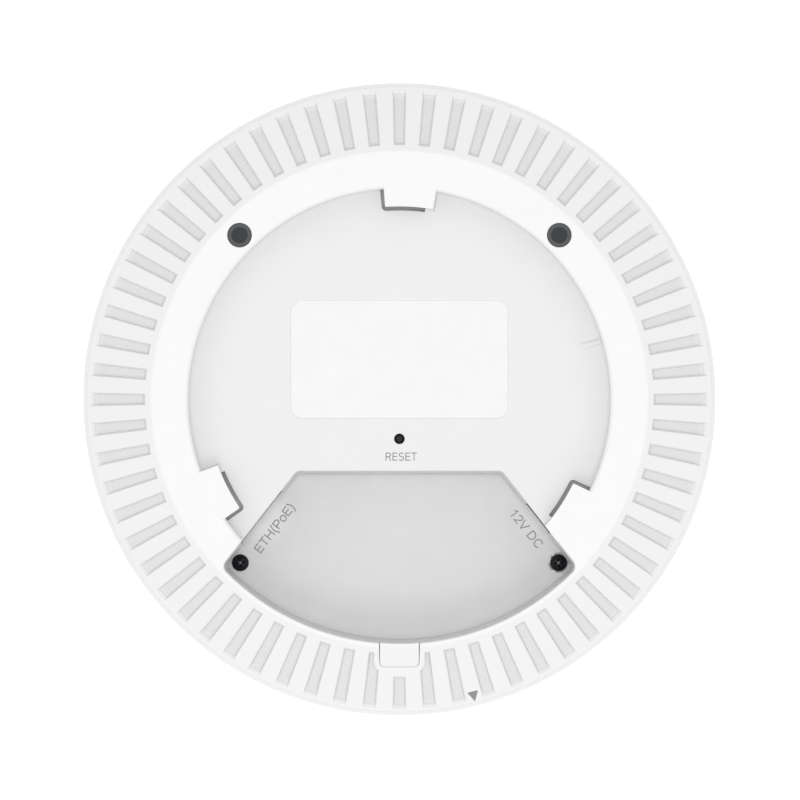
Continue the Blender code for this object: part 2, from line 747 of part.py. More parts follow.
_iz0, _iz1 = _zb + 0.6, _zb + ETH_H - 0.6
_iw = ETH_W / 2 - 0.7
insert = box("ethernet_jack_insert", _face, _face + ETH_L - 0.8, -_iw, _iw, _iz0, _iz1)
ETH_CAV_Z0, ETH_CAV_Z1 = _iz0 + 0.7, _iz0 + 7.5
cut(insert, box("cavity", _face - 1, _face + 15.0, -5.95, 5.95, ETH_CAV_Z0, ETH_CAV_Z1))
cut(insert, box("latch_wide", _face - 1, _face + 9.0, -3.1, 3.1, ETH_CAV_Z1 - 0.5, ETH_CAV_Z1 + 1.1))
cut(insert, box("latch_narrow", _face - 1, _face + 9.0, -1.7, 1.7, ETH_CAV_Z1 + 0.5, ETH_CAV_Z1 + 1.8))
paint(turned(tidy(insert), ETH_X, ETH_Y, PORT_ANGLE), BLACK)

# eight sprung contacts on one carrier strip at the back of the cavity
comb = box("ethernet_jack_contacts", _face + 13.9, _face + 14.7, -4.6, 4.6, ETH_CAV_Z0 + 0.3, ETH_CAV_Z0 + 4.4)
for k in range(8):
    y = -3.57 + 1.02 * k
    section = [
        (_face + 14.2, ETH_CAV_Z0 + 3.9),
        (_face + 6.0, ETH_CAV_Z0 + 0.35),
        (_face + 6.0, ETH_CAV_Z0 + 0.65),
        (_face + 14.2, ETH_CAV_Z0 + 4.2),
    ]
    # the section is drawn out along X, then turned so that the fingers lie side by side
    finger = extruded("finger", section, -y - 0.22, -y + 0.22)
    finger.data.transform(Matrix.Rotation(-math.pi / 2, 4, "Z"))
    join(comb, finger)
paint(turned(tidy(comb), ETH_X, ETH_Y, PORT_ANGLE), GOLD)

# ------------------------------------------------------------------- dc jack
dc = box("dc_jack_body", _face, _face + DC_L, -DC_W / 2, DC_W / 2, _zb, _zb + DC_H)
DC_HOLE_Z = _zb + 6.2
hole = cylinder("hole", 0, 0, 6.4, 0.0, 11.5, 20)
hole.data.transform(Matrix.Translation(Vector((_face - 1.5, 0, DC_HOLE_Z)) * MM) @ Matrix.Rotation(math.pi / 2, 4, "Y"))
cut(dc, hole)
paint(turned(tidy(dc), DC_X, DC_Y, PORT_ANGLE_RIGHT), BLACK)
pin = spin(
    "dc_jack_pin",
    [(0.0, 9.2), (0.7, 9.2), (1.05, 8.7), (1.05, 1.2), (1.9, 1.2), (1.9, 0.0), (0.0, 0.0)],
    16,
)
pin.data.transform(
    Matrix.Translation(Vector((_face + 9.7, 0, DC_HOLE_Z)) * MM) @ Matrix.Rotation(-math.pi / 2, 4, "Y")
)
paint(turned(pin, DC_X, DC_Y, PORT_ANGLE_RIGHT), GOLD)

# ---------------------------------------------------------------- main board
board = cylinder("main_board", 0, 0, 2 * BOARD_R, BOARD_TOP_Z - BOARD_THICK, BOARD_TOP_Z, 64)
for sx in (-1, 1):
    for sy in (-1, 1):
        cut(board, cylinder("bore", sx * SCREW_X, sy * SCREW_Y, POST_D + 2 * GAP, -24.0, -15.0, 20))
for x, y in BOARD_BOSSES + SINK_LEGS:
    cut(board, cylinder("bore", x, y, 2.8, -24.0, -15.0, 12))
paint(tidy(board), BOARD)
_zf = BOARD_TOP_Z - BOARD_THICK - GAP          # front side of the board, with clearance

# ----------------------------------------------------------------- heat sink
SINK_LOW_Z = -16.5
ring = [(48 * math.cos(math.radians(a)), 48 * math.sin(math.radians(a))) for a in (45, 60, 75, 90, 105, 120, 135)]
sink = prism("heat_sink", [(34.0, 0.0), (34.0, 30.0)] + ring[0:] + [(-34.0, 30.0), (-34.0, 0.0)], SINK_LOW_Z, -14.5)
for k in range(8):
    y = 3.0 + 4.6 * k
    half = 32.0 if y < 32 else 27.0
    join(sink, box("fin", -half, half, y, y + 1.4, -15.0, -8.2))
for x, y in SINK_LEGS:
    join(sink, cylinder("leg", x, y, 5.0, BOARD_TOP_Z + GAP, -16.0, 16))
join(sink, box("pedestal", -8.0, 8.0, 10.0, 26.0, -16.9, -16.0))
for x, y in SINK_LEGS:
    cut(sink, cylinder("bore", x, y, 2.6, -22.0, -15.5, 12))
paint(tidy(sink), SINK)
for k, (x, y) in enumerate(SINK_LEGS):
    pan_screw("sink_screw_%d" % (k + 1), x, y, _zf, 4.4, 1.5, 2.0, 5.0, STEEL, 12, up=False)

# -------------------------------------------------- parts on the board's back
paint(box("soc_chip", -7.0, 7.0, 11.0, 25.0, _zb, _zb + 1.1), CHIP)
paint(box("soc_thermal_pad", -6.8, 6.8, 11.2, 24.8, _zb + 1.3, -17.1), PAD)
paint(box("ram_chip", 12.0, 22.0, 14.0, 22.0, _zb, _zb + 1.0), CHIP)
paint(box("flash_chip", -22.0, -14.0, 14.0, 20.0, _zb, _zb + 1.4), CHIP)
paint(box("ethernet_transformer", -56.0, -39.0, 0.0, 13.0, _zb, _zb + 6.0), CHIP)
paint(box("poe_transformer", 41.0, 55.0, 6.0, 20.0, _zb, _zb + 9.5), FERRITE)
paint(box("power_inductor", 43.0, 53.0, -10.0, 0.0, _zb, _zb + 5.0), FERRITE)
paint(cylinder("capacitor_1", 46.0, 27.5, 8.0, _zb, _zb + 10.5, 16), SLEEVE)
paint(cylinder("capacitor_2", -46.0, 20.5, 8.0, _zb, _zb + 10.5, 16), SLEEVE)
paint(box("rectifier", 60.0, 66.0, -16.0, -10.0, _zb, _zb + 2.4), CHIP)

# ------------------------------------------------- parts on the board's front
for name, x in (("2g", -24.0), ("5g", 24.0)):
    can = box("shield_can_" + name, x - 15.0, x + 15.0, 11.0, 33.0, _zf - 3.2, _zf)
    cut(can, box("inside", x - 14.6, x + 14.6, 11.4, 32.6, _zf - 2.8, _zf + 1.0))
    paint(can, SHELL)
    paint(box("wifi_chip_" + name, x - 4.5, x + 4.5, 17.5, 26.5, _zf - 1.1, _zf), CHIP)


def antenna(name, x, y, wide, tall, feed):
    """A folded strip: a flat top 4.6 mm off the board with a feed leg and a ground leg."""
    top = _zf - 4.6
    strip = box(name, x - wide / 2, x + wide / 2, y - tall / 2, y + tall / 2, top - 0.4, top)
    join(strip, box("feed", x - wide / 2, x - wide / 2 + 0.4, y + feed, y + feed + 2.0, top - 0.2, _zf))
    join(strip, box("ground", x - wide / 2, x - wide / 2 + 0.4, y - tall / 2, y - tall / 2 + 3.0, top - 0.2, _zf))
    cut(strip, box("slot", x - wide / 2 + 2.0, x + wide / 2 + 1.0, y - 0.6, y + 0.6, top - 2.0, top + 1.0))
    return paint(tidy(strip), COPPER)


antenna("antenna_2g_1", -49.0, 22.0, 9.0, 26.0, 3.0)
antenna("antenna_2g_2", 49.0, 22.0, 9.0, 26.0, 3.0)
antenna("antenna_5g_1", -40.0, -18.0, 7.0, 15.0, 2.0)
antenna("antenna_5g_2", 40.0, -18.0, 7.0, 15.0, 2.0)

paint(box("status_led", -1.6, 1.6, LED_Y - 0.8, LED_Y + 0.8, _zf - 1.0, _zf), LED_WHITE)
paint(
    spin(
        "light_pipe",
        [
            (0.0, _zf - 1.3),
            (1.4, _zf - 1.3),
            (1.4, -26.5),
            (2.4, -26.5),
            (2.4, -27.6),
            (1.5, -27.6),
            (1.5, -31.2),
            (1.2, -31.5),
            (0.0, -31.6),
        ],
        20,
        (0.0, LED_Y),
    ),
    CLEAR,
)
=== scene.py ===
import math

import bmesh
import bpy
from mathutils import Matrix, Vector, noise


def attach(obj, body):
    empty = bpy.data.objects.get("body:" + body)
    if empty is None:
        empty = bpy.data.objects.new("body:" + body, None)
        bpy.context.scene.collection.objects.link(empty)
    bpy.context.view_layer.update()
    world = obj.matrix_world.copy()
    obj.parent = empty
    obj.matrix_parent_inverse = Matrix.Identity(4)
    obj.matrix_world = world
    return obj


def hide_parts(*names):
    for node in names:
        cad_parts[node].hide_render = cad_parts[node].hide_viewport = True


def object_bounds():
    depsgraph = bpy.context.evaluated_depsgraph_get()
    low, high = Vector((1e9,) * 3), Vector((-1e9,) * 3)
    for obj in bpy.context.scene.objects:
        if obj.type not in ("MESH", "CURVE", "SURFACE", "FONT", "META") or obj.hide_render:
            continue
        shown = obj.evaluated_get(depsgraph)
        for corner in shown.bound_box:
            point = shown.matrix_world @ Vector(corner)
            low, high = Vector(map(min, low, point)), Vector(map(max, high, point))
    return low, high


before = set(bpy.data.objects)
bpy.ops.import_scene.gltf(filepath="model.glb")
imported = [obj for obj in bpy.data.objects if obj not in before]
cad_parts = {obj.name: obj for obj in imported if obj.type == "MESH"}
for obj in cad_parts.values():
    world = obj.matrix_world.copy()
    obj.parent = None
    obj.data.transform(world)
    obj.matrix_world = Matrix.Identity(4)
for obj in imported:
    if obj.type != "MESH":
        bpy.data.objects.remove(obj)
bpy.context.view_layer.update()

# ------------------------------------------------------------------ dimensions
# Millimetres. They repeat the part's own dimensions.
MM = 0.001
GAP = 0.3
BODY_R, BODY_DEPTH = 80.0, 33.6
COVER_R = 79.1
WALL = 2.0
RING_OUT_R, RING_IN_R, RECESS_R = 62.9, 54.3, 53.3
RECESS_DEPTH = 4.5
SLOPE = math.tan(math.radians(20.0))
SLOPE_WALL = 4.0
COVER_SKIRT_Z = -10.8
SLOTS, SLOT_IN_R, SLOT_OUT_R, SLOT_DEG, SLOT_DEPTH = 64, 64.4, 78.2, 2.4, 1.15
SHORT_SLOT_IN_R = 70.3
TAB_START, TAB_STOP, TAB_END, TAB_GAP = 79.9, 82.3, 94.3, 95.25
TAB_IN_R, TAB_GAP_R, TAB_THICK = 48.8, 47.85, 1.8
POCKET_FLOOR_Z, POCKET_SHEET = -7.0, 0.9
TAB_LAND = 7.0
EDGE_R = 79.2
RIB_DEG, RIB_IN_R, RIB_WIDTH, RIB_HEIGHT = 16.1, 47.4, 1.2, 0.45
LABEL_W, LABEL_H, LABEL_CY, LABEL_CORNER, LABEL_CUT, LABEL_POCKET = 55.2, 30.05, 10.1, 3.0, 2.1, 0.4
BAY_TOP_X, BAY_TOP_Y, BAY_LOW_X, BAY_LOW_Y = 26.0, -18.2, 44.8, -42.2
BAY_ARC_R, BAY_CORNER_R = 61.8, 2.0
BAY_FLOOR_Z, BAY_DRAFT, BAY_WALL, BAY_SHEET, BAY_RIM_Z, BAY_SKIRT_Z, BAY_SKIRT = -18.0, 0.70, 1.3, 1.2, -8.6, -8.3, 1.5
EXIT_HALF, EXIT_END_Y, EXIT_CORNER, EXIT_FLOOR_Z, EXIT_KEEP = 4.95, -67.72, 1.3, -6.8, 1.45
SCREW_X, SCREW_Y, HEAD_D, HEAD_H, SHANK_D = 40.45, 41.55, 4.3, 1.7, 2.6
WELL_D, WELL_OUT_D, WELL_SEAT_Z = 6.7, 9.1, -17.7
PLUG_D, PLUG_FLAT_D, PLUG_LENGTH, PLUG_SINK = 6.1, 4.0, 4.2, 0.1
RESET_Y, RESET_HOLE_D, RESET_PIN_D, RESET_TOP_Z = -10.0, 2.65, 2.0, -5.3
ETH_X, ETH_Y, ETH_WINDOW, ETH_W, ETH_L, ETH_H = -35.0, -29.85, 16.9, 16.0, 20.5, 11.0
PORT_SET_BACK = 2.2
DC_X, DC_Y, DC_WINDOW, DC_W, DC_L, DC_H = 35.15, -30.25, 9.6, 9.0, 14.0, 11.0
BOARD_TOP_Z, BOARD_THICK = -19.5, 1.6
RECESS_UNDER = -RECESS_DEPTH - WALL
LED_Y = -58.0


# --------------------------------------------------------------------- helpers
def new_object(name, mesh=None):
    obj = bpy.data.objects.new(name, mesh or bpy.data.meshes.new(name))
    bpy.context.scene.collection.objects.link(obj)
    return obj


def solid(name, points, faces):
    bm = bmesh.new()
    verts = [bm.verts.new(Vector(p) * MM) for p in points]
    for face in faces:
        bm.faces.new([verts[i] for i in face])
    bmesh.ops.recalc_face_normals(bm, faces=bm.faces)
    if bm.calc_volume(signed=True) < 0:
        bmesh.ops.reverse_faces(bm, faces=bm.faces)
    obj = new_object(name)
    bm.to_mesh(obj.data)
    bm.free()
    return obj


def fillet(points):
    """(a, b, radius, steps) corners of a closed section become arcs."""
    out = []
    n = len(points)
    for k, (a, b, radius, steps) in enumerate(points):
        p = Vector((a, b))
        if radius <= 0:
            out.append((a, b))
            continue
        before = Vector(points[k - 1][:2]) - p
        after = Vector(points[(k + 1) % n][:2]) - p
        d0, d1 = before.normalized(), after.normalized()
        half = math.acos(max(-1, min(1, d0.dot(d1)))) / 2
        reach = min(radius / math.tan(half), 0.49 * before.length, 0.49 * after.length)
        r = reach * math.tan(half)
        centre = p + (d0 + d1).normalized() * (r / math.sin(half))
        s, e = p + d0 * reach - centre, p + d1 * reach - centre
        a0, a1 = math.atan2(s.y, s.x), math.atan2(e.y, e.x)
        turn = (a1 - a0 + math.pi) % (2 * math.pi) - math.pi
        out += [(centre.x + r * math.cos(a0 + turn * j / steps), centre.y + r * math.sin(a0 + turn * j / steps)) for j in range(steps + 1)]
    return out


def spin(name, profile, count=256, centre=(0.0, 0.0)):
    points, rings = [], []
    for r, z in profile:
        if r < 1e-6:
            rings.append([len(points)])
            points.append((centre[0], centre[1], z))
            continue
        rings.append(list(range(len(points), len(points) + count)))
        points += [
            (centre[0] + r * math.cos(2 * math.pi * (k + 0.5) / count), centre[1] + r * math.sin(2 * math.pi * (k + 0.5) / count), z)
            for k in range(count)
        ]
    faces = []
    for a, b in zip(rings, rings[1:] + rings[:1]):
        if len(a) == 1 and len(b) == 1:
            continue
        for k in range(count):
            m = (k + 1) % count
            if len(a) == 1:
                faces.append((a[0], b[m], b[k]))
            elif len(b) == 1:
                faces.append((a[k], a[m], b[0]))
            else:
                faces.append((a[k], a[m], b[m], b[k]))
    return solid(name, points, faces)


def stack(name, layers):
    """Closed solid from outlines of equal length at rising or falling z."""
    n = len(layers[0][0])
    points = [(x, y, z) for ring, z in layers for x, y in ring]
    faces = [tuple(range(n - 1, -1, -1)), tuple(range((len(layers) - 1) * n, len(layers) * n))]
    for j in range(len(layers) - 1):
        faces += [(j * n + k, j * n + (k + 1) % n, (j + 1) * n + (k + 1) % n, (j + 1) * n + k) for k in range(n)]
    return solid(name, points, faces)


def prism(name, ring, z0, z1):
    return stack(name, [(ring, z0), (ring, z1)])


def box(name, x0, x1, y0, y1, z0, z1):
    return prism(name, [(x0, y0), (x1, y0), (x1, y1), (x0, y1)], z0, z1)


def circle(x, y, d, count=48):
    return [(x + d / 2 * math.cos(2 * math.pi * (k + 0.37) / count), y + d / 2 * math.sin(2 * math.pi * (k + 0.37) / count)) for k in range(count)]


def extruded(name, section, x0, x1):
    n = len(section)
    points = [(x0, y, z) for y, z in section] + [(x1, y, z) for y, z in section]
    faces = [tuple(range(n - 1, -1, -1)), tuple(range(n, 2 * n))]
    faces += [(k, (k + 1) % n, n + (k + 1) % n, n + k) for k in range(n)]
    return solid(name, points, faces)


def moved(obj, x=0.0, y=0.0, z=0.0, degrees=0.0):
    obj.data.transform(Matrix.Translation(Vector((x, y, z)) * MM) @ Matrix.Rotation(math.radians(degrees), 4, "Z"))
    return obj


def joined(name, objs):
    bm = bmesh.new()
    for o in objs:
        bm.from_mesh(o.data)
        mesh = o.data
        bpy.data.objects.remove(o, do_unlink=True)
        bpy.data.meshes.remove(mesh)
    obj = new_object(name)
    bm.to_mesh(obj.data)
    bm.free()
    return obj


def stitch(mesh):
    bm = bmesh.new()
    bm.from_mesh(mesh)
    for _round in range(6):
        loose = [e for e in bm.edges if len(e.link_faces) == 1]
        if not loose:
            break
        corners = {v for e in loose for v in e.verts}
        done = False
        for edge in loose:
            a, b = edge.verts
            along = b.co - a.co
            for v in corners:
                if v in (a, b) or along.length < 1e-9:
                    continue
                t = (v.co - a.co).dot(along) / along.length_squared
                if 0.0 < t < 1.0 and (a.co + along * t - v.co).length < 0.005 * MM:
                    made = bmesh.utils.edge_split(edge, a, t)[1]
                    made.co = v.co
                    done = True
                    break
            if done:
                break
        bmesh.ops.remove_doubles(bm, verts=bm.verts, dist=0.0005 * MM)
        if not done:
            break
    bm.to_mesh(mesh)
    bm.free()


def volume(mesh):
    """Cubic millimetres."""
    bm = bmesh.new()
    bm.from_mesh(mesh)
    out = abs(bm.calc_volume(signed=True)) / MM**3
    bm.free()
    return out


def combine(obj, other, operation):
    other.hide_render = True
    step = obj.modifiers.new("cut", "BOOLEAN")
    step.operation, step.solver, step.object = operation, "EXACT", other
    for attempt in range(2):
        bpy.context.view_layer.update()
        graph = bpy.context.evaluated_depsgraph_get()
        mesh = bpy.data.meshes.new_from_object(obj.evaluated_get(graph))
        if mesh.polygons and (operation != "DIFFERENCE" or volume(mesh) > volume(obj.data) - volume(other.data) - 1.0):
            break
        if attempt:
            print("BOOLEAN", obj.name, operation, other.name, "volume", round(volume(mesh), 1), "from", round(volume(obj.data), 1))
            break
        for data in (obj.data, other.data):
            bm = bmesh.new()
            bm.from_mesh(data)
            bmesh.ops.remove_doubles(bm, verts=bm.verts, dist=0.001 * MM)
            bmesh.ops.triangulate(bm, faces=bm.faces)
            bm.to_mesh(data)
            bm.free()
    stitch(mesh)
    bad = loose_edges(mesh)
    if bad or not mesh.polygons:
        print("BOOLEAN", obj.name, operation, other.name, "open edges", bad, "faces", len(mesh.polygons))
    old = obj.data
    obj.modifiers.clear()
    obj.data = mesh
    bpy.data.meshes.remove(old)
    cutter = other.data
    bpy.data.objects.remove(other, do_unlink=True)
    bpy.data.meshes.remove(cutter)
    return obj


def loose_edges(mesh):
    bm = bmesh.new()
    bm.from_mesh(mesh)
    bad = sum(1 for e in bm.edges if len(e.link_faces) != 2)
    bm.free()
    return bad


def cut(obj, *others):
    for o in others:
        combine(obj, o, "DIFFERENCE")
    return obj


def join(obj, *others):
    for o in others:
        combine(obj, o, "UNION")
    return obj


def keep(obj, *others):
    for o in others:
        combine(obj, o, "INTERSECT")
    return obj


def smooth(obj, angle=32.0, weighted=True):
    """Welds slivers, shades smooth with hard edges by angle, and keeps flat faces flat."""
    bm = bmesh.new()
    bm.from_mesh(obj.data)
    bmesh.ops.remove_doubles(bm, verts=bm.verts, dist=0.002 * MM)
    bmesh.ops.dissolve_degenerate(bm, dist=0.001 * MM, edges=bm.edges)
    bm.to_mesh(obj.data)
    bm.free()
    for poly in obj.data.polygons:
        poly.use_smooth = True
    obj.data.set_sharp_from_angle(angle=math.radians(angle))
    if weighted:
        step = obj.modifiers.new("weighted", "WEIGHTED_NORMAL")
        step.keep_sharp = True
        step.weight = 50
        step.mode = "FACE_AREA"
    return obj


def soft_edges(obj, width=0.15, segments=2, angle=35.0):
    """A small rounding on every hard edge, before the shading."""
    step = obj.modifiers.new("edges", "BEVEL")
    step.width, step.segments, step.limit_method = width * MM, segments, "ANGLE"
    step.angle_limit = math.radians(angle)
    step.use_clamp_overlap = True
    step.harden_normals = False
    bpy.context.view_layer.update()
    graph = bpy.context.evaluated_depsgraph_get()
    mesh = bpy.data.meshes.new_from_object(obj.evaluated_get(graph))
    old = obj.data
    obj.modifiers.clear()
    obj.data = mesh
    bpy.data.meshes.remove(old)
    return obj


def dress(obj, look, body="housing", stands_for=()):
    obj.data.name = obj.name
    obj.data.materials.clear()
    obj.data.materials.append(look)
    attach(obj, body)
    if stands_for:
        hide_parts(*stands_for)
    return obj


def slope_z(r):
    return -(r - RING_OUT_R) * SLOPE


def arc(centre, radius, a0, a1, steps):
    return [
        (centre[0] + radius * math.cos(a0 + (a1 - a0) * k / steps), centre[1] + radius * math.sin(a0 + (a1 - a0) * k / steps))
        for k in range(steps + 1)
    ]


_side = Vector((-(BAY_LOW_X - BAY_TOP_X), BAY_LOW_Y - BAY_TOP_Y)).normalized()
_into = Vector((-_side.y, _side.x))
_top = Vector((-BAY_TOP_X, BAY_TOP_Y))
_base = _top + _into * BAY_CORNER_R
_k = (BAY_TOP_Y - BAY_CORNER_R - _base.y) / _side.y
_ct = Vector((_base.x + _side.x * _k, BAY_TOP_Y - BAY_CORNER_R))
_b = 2 * _base.dot(_side)
_c = _base.dot(_base) - (BAY_ARC_R - BAY_CORNER_R) ** 2
_cb = _base + _side * ((-_b + math.sqrt(_b * _b - 4 * _c)) / 2)
_sa = math.atan2(-_into.y, -_into.x) % (2 * math.pi)
_la = math.atan2(_cb.y, _cb.x) % (2 * math.pi)
PORT_ANGLE = math.degrees(math.atan2(-_into.y, -_into.x))
PORT_ANGLE_RIGHT = math.degrees(math.atan2(-_into.y, _into.x))


def bay_outline(d, windows=None, at_window=0.0, corner=8, arc_steps=72):
    r = max(BAY_CORNER_R - d, 0.05)

    def half(mirror, window):
        points = arc((_ct.x, _ct.y), r, math.pi / 2, _sa, corner)
        if window:
            c = Vector((-window[0][0] if mirror else window[0][0], window[0][1]))
            for along, off in ((-window[1] / 2, d), (-window[1] / 2, at_window), (window[1] / 2, at_window), (window[1] / 2, d)):
                p = c + _side * along
                p = p + _into * (off - (p - _top).dot(_into))
                points.append((p.x, p.y))
        return points + arc((_cb.x, _cb.y), r, _sa, _la, corner)

    left = half(False, windows[0] if windows else None)
    right = [(-x, y) for x, y in reversed(half(True, windows[1] if windows else None))]
    return left + arc((0, 0), BAY_ARC_R - d, _la, 3 * math.pi - _la, arc_steps)[1:-1] + right


def exit_outline(half, end_y, corner, start_y, steps=8, flare=0.0):
    left = arc((-half + corner, end_y + corner), corner, math.pi, 1.5 * math.pi, steps)
    right = arc((half - corner, end_y + corner), corner, 1.5 * math.pi, 2 * math.pi, steps)
    return [(-half - flare, start_y)] + left + right + [(half + flare, start_y)]


def label_outline(d):
    c = LABEL_CORNER
    x, yt, yb = LABEL_W / 2, LABEL_CY + LABEL_H / 2, LABEL_CY - LABEL_H / 2
    k = d * (math.sqrt(2) - 1)
    return (
        arc((-x + c, yb + c), c - d, math.pi, 1.5 * math.pi, 8)
        + arc((x - c, yb + c), c - d, 1.5 * math.pi, 2 * math.pi, 8)
        + arc((x - c, yt - c), c - d, 0, 0.5 * math.pi, 8)
        + [(-x + LABEL_CUT + k, yt - d), (-x + d, yt - LABEL_CUT - k)]
    )


def polar_outline(r0, r1, d0, d1, steps, round_at=None, radius=0.0):
    """Annular sector outline, counter-clockwise from the outer start. The inner end corner can be rounded."""
    a0, a1 = math.radians(d0), math.radians(d1)
    outer = [(r1 * math.cos(a0 + (a1 - a0) * k / steps), r1 * math.sin(a0 + (a1 - a0) * k / steps)) for k in range(steps + 1)]
    if round_at == "end" and radius > 0:
        ac = a1 - radius / (r0 + radius)
        rc = r0 + radius
        centre = Vector((rc * math.cos(ac), rc * math.sin(ac)))
        corner = arc((centre.x, centre.y), radius, a1 + math.pi / 2, a1 + math.pi, 5)
        inner = [(r0 * math.cos(ac + (a0 - ac) * k / steps), r0 * math.sin(ac + (a0 - ac) * k / steps)) for k in range(1, steps + 1)]
        return outer + corner + inner
    inner = [(r0 * math.cos(a1 + (a0 - a1) * k / steps), r0 * math.sin(a1 + (a0 - a1) * k / steps)) for k in range(steps + 1)]
    return outer + inner


# ------------------------------------------------------------------- materials
def plastic(name, colour, rough, grain=0.35, grain_mm=0.22, mottle=0.012, rough_spread=0.06, spec=0.5, coat=0.0, painted_rim_light=None, painted_light=()):
    """Moulded plastic: spark-eroded grain in the bump, slow mottle in the colour, drift in the roughness."""
    made = bpy.data.materials.new(name)
    made.use_nodes = True
    tree = made.node_tree
    nodes, links = tree.nodes, tree.links
    shader = nodes["Principled BSDF"]
    shader.inputs["Specular IOR Level"].default_value = spec
    shader.inputs["Coat Weight"].default_value = coat
    place = nodes.new("ShaderNodeTexCoord")

    def noise_at(size_mm, detail, rough_=0.5):
        n = nodes.new("ShaderNodeTexNoise")
        n.inputs["Scale"].default_value = 1.0 / (size_mm * MM)
        n.inputs["Detail"].default_value = detail
        n.inputs["Roughness"].default_value = rough_
        links.new(place.outputs["Object"], n.inputs["Vector"])
        return n

    slow = noise_at(14.0, 3.0)
    ramp = nodes.new("ShaderNodeMapRange")
    ramp.inputs["From Min"].default_value, ramp.inputs["From Max"].default_value = 0.3, 0.7
    ramp.inputs["To Min"].default_value, ramp.inputs["To Max"].default_value = 1.0 - mottle, 1.0 + mottle
    links.new(slow.outputs["Fac"], ramp.inputs["Value"])
    tint = nodes.new("ShaderNodeMix")
    tint.data_type, tint.blend_type = "RGBA", "MULTIPLY"
    tint.inputs["Factor"].default_value = 1.0
    tint.inputs[6].default_value = (*colour, 1.0)
    links.new(ramp.outputs["Result"], tint.inputs[7])
    colour_out = tint.outputs[2]
    if painted_rim_light:
        # painted_rim_light = (centre x, centre y, inner radius, outer radius, rim light colour): a paler ring of
        # painted light
        cx, cy, r0, r1, rim_light_colour = painted_rim_light
        sep = nodes.new("ShaderNodeVectorMath")
        sep.operation = "SUBTRACT"
        links.new(place.outputs["Object"], sep.inputs[0])
        sep.inputs[1].default_value = (cx * MM, cy * MM, 0.0)
        flat = nodes.new("ShaderNodeVectorMath")
        flat.operation = "MULTIPLY"
        links.new(sep.outputs["Vector"], flat.inputs[0])
        flat.inputs[1].default_value = (1.0, 1.0, 0.0)
        dist = nodes.new("ShaderNodeVectorMath")
        dist.operation = "LENGTH"
        links.new(flat.outputs["Vector"], dist.inputs[0])
        band = nodes.new("ShaderNodeMapRange")
        band.inputs["From Min"].default_value, band.inputs["From Max"].default_value = r0 * MM, r1 * MM
        links.new(dist.outputs["Value"], band.inputs["Value"])
        mix = nodes.new("ShaderNodeMix")
        mix.data_type = "RGBA"
        links.new(band.outputs["Result"], mix.inputs["Factor"])
        links.new(colour_out, mix.inputs[6])
        mix.inputs[7].default_value = (*rim_light_colour, 1.0)
        colour_out = mix.outputs[2]
    for cx, cy, r0, r1, gain in painted_light:
        # painted_light = (centre x, centre y, inner radius, outer radius, gain): a patch of painted light, lighter
        # inside r0 by the gain and fading out by r1
        away = nodes.new("ShaderNodeVectorMath")
        away.operation = "SUBTRACT"
        links.new(place.outputs["Object"], away.inputs[0])
        away.inputs[1].default_value = (cx * MM, cy * MM, 0.0)
        level = nodes.new("ShaderNodeVectorMath")
        level.operation = "MULTIPLY"
        links.new(away.outputs["Vector"], level.inputs[0])
        level.inputs[1].default_value = (1.0, 1.0, 0.0)
        reach = nodes.new("ShaderNodeVectorMath")
        reach.operation = "LENGTH"
        links.new(level.outputs["Vector"], reach.inputs[0])
        fade = nodes.new("ShaderNodeMapRange")
        fade.interpolation_type = "SMOOTHSTEP"
        fade.inputs["From Min"].default_value, fade.inputs["From Max"].default_value = r0 * MM, r1 * MM
        fade.inputs["To Min"].default_value, fade.inputs["To Max"].default_value = gain, 1.0
        links.new(reach.outputs["Value"], fade.inputs["Value"])
        lift = nodes.new("ShaderNodeMix")
        lift.data_type, lift.blend_type = "RGBA", "MULTIPLY"
        lift.inputs["Factor"].default_value = 1.0
        links.new(colour_out, lift.inputs[6])
        links.new(fade.outputs["Result"], lift.inputs[7])
        colour_out = lift.outputs[2]
    links.new(colour_out, shader.inputs["Base Color"])

    drift = noise_at(5.0, 4.0, 0.6)
    rr = nodes.new("ShaderNodeMapRange")
    rr.inputs["From Min"].default_value, rr.inputs["From Max"].default_value = 0.25, 0.75
    rr.inputs["To Min"].default_value, rr.inputs["To Max"].default_value = rough - rough_spread, rough + rough_spread
    links.new(drift.outputs["Fac"], rr.inputs["Value"])
    links.new(rr.outputs["Result"], shader.inputs["Roughness"])

    fine = noise_at(grain_mm, 2.0, 0.6)
    pits = nodes.new("ShaderNodeTexVoronoi")
    pits.inputs["Scale"].default_value = 1.0 / (grain_mm * 1.8 * MM)
    links.new(place.outputs["Object"], pits.inputs["Vector"])
    both = nodes.new("ShaderNodeMath")
    both.operation = "MULTIPLY_ADD"
    links.new(pits.outputs["Distance"], both.inputs[0])
    both.inputs[1].default_value = 0.5
    links.new(fine.outputs["Fac"], both.inputs[2])
    bump = nodes.new("ShaderNodeBump")
    bump.inputs["Strength"].default_value = grain
    bump.inputs["Distance"].default_value = 0.006 * MM
    links.new(both.outputs["Value"], bump.inputs["Height"])
    links.new(bump.outputs["Normal"], shader.inputs["Normal"])
    made.diffuse_color = (*colour, 1.0)
    return made


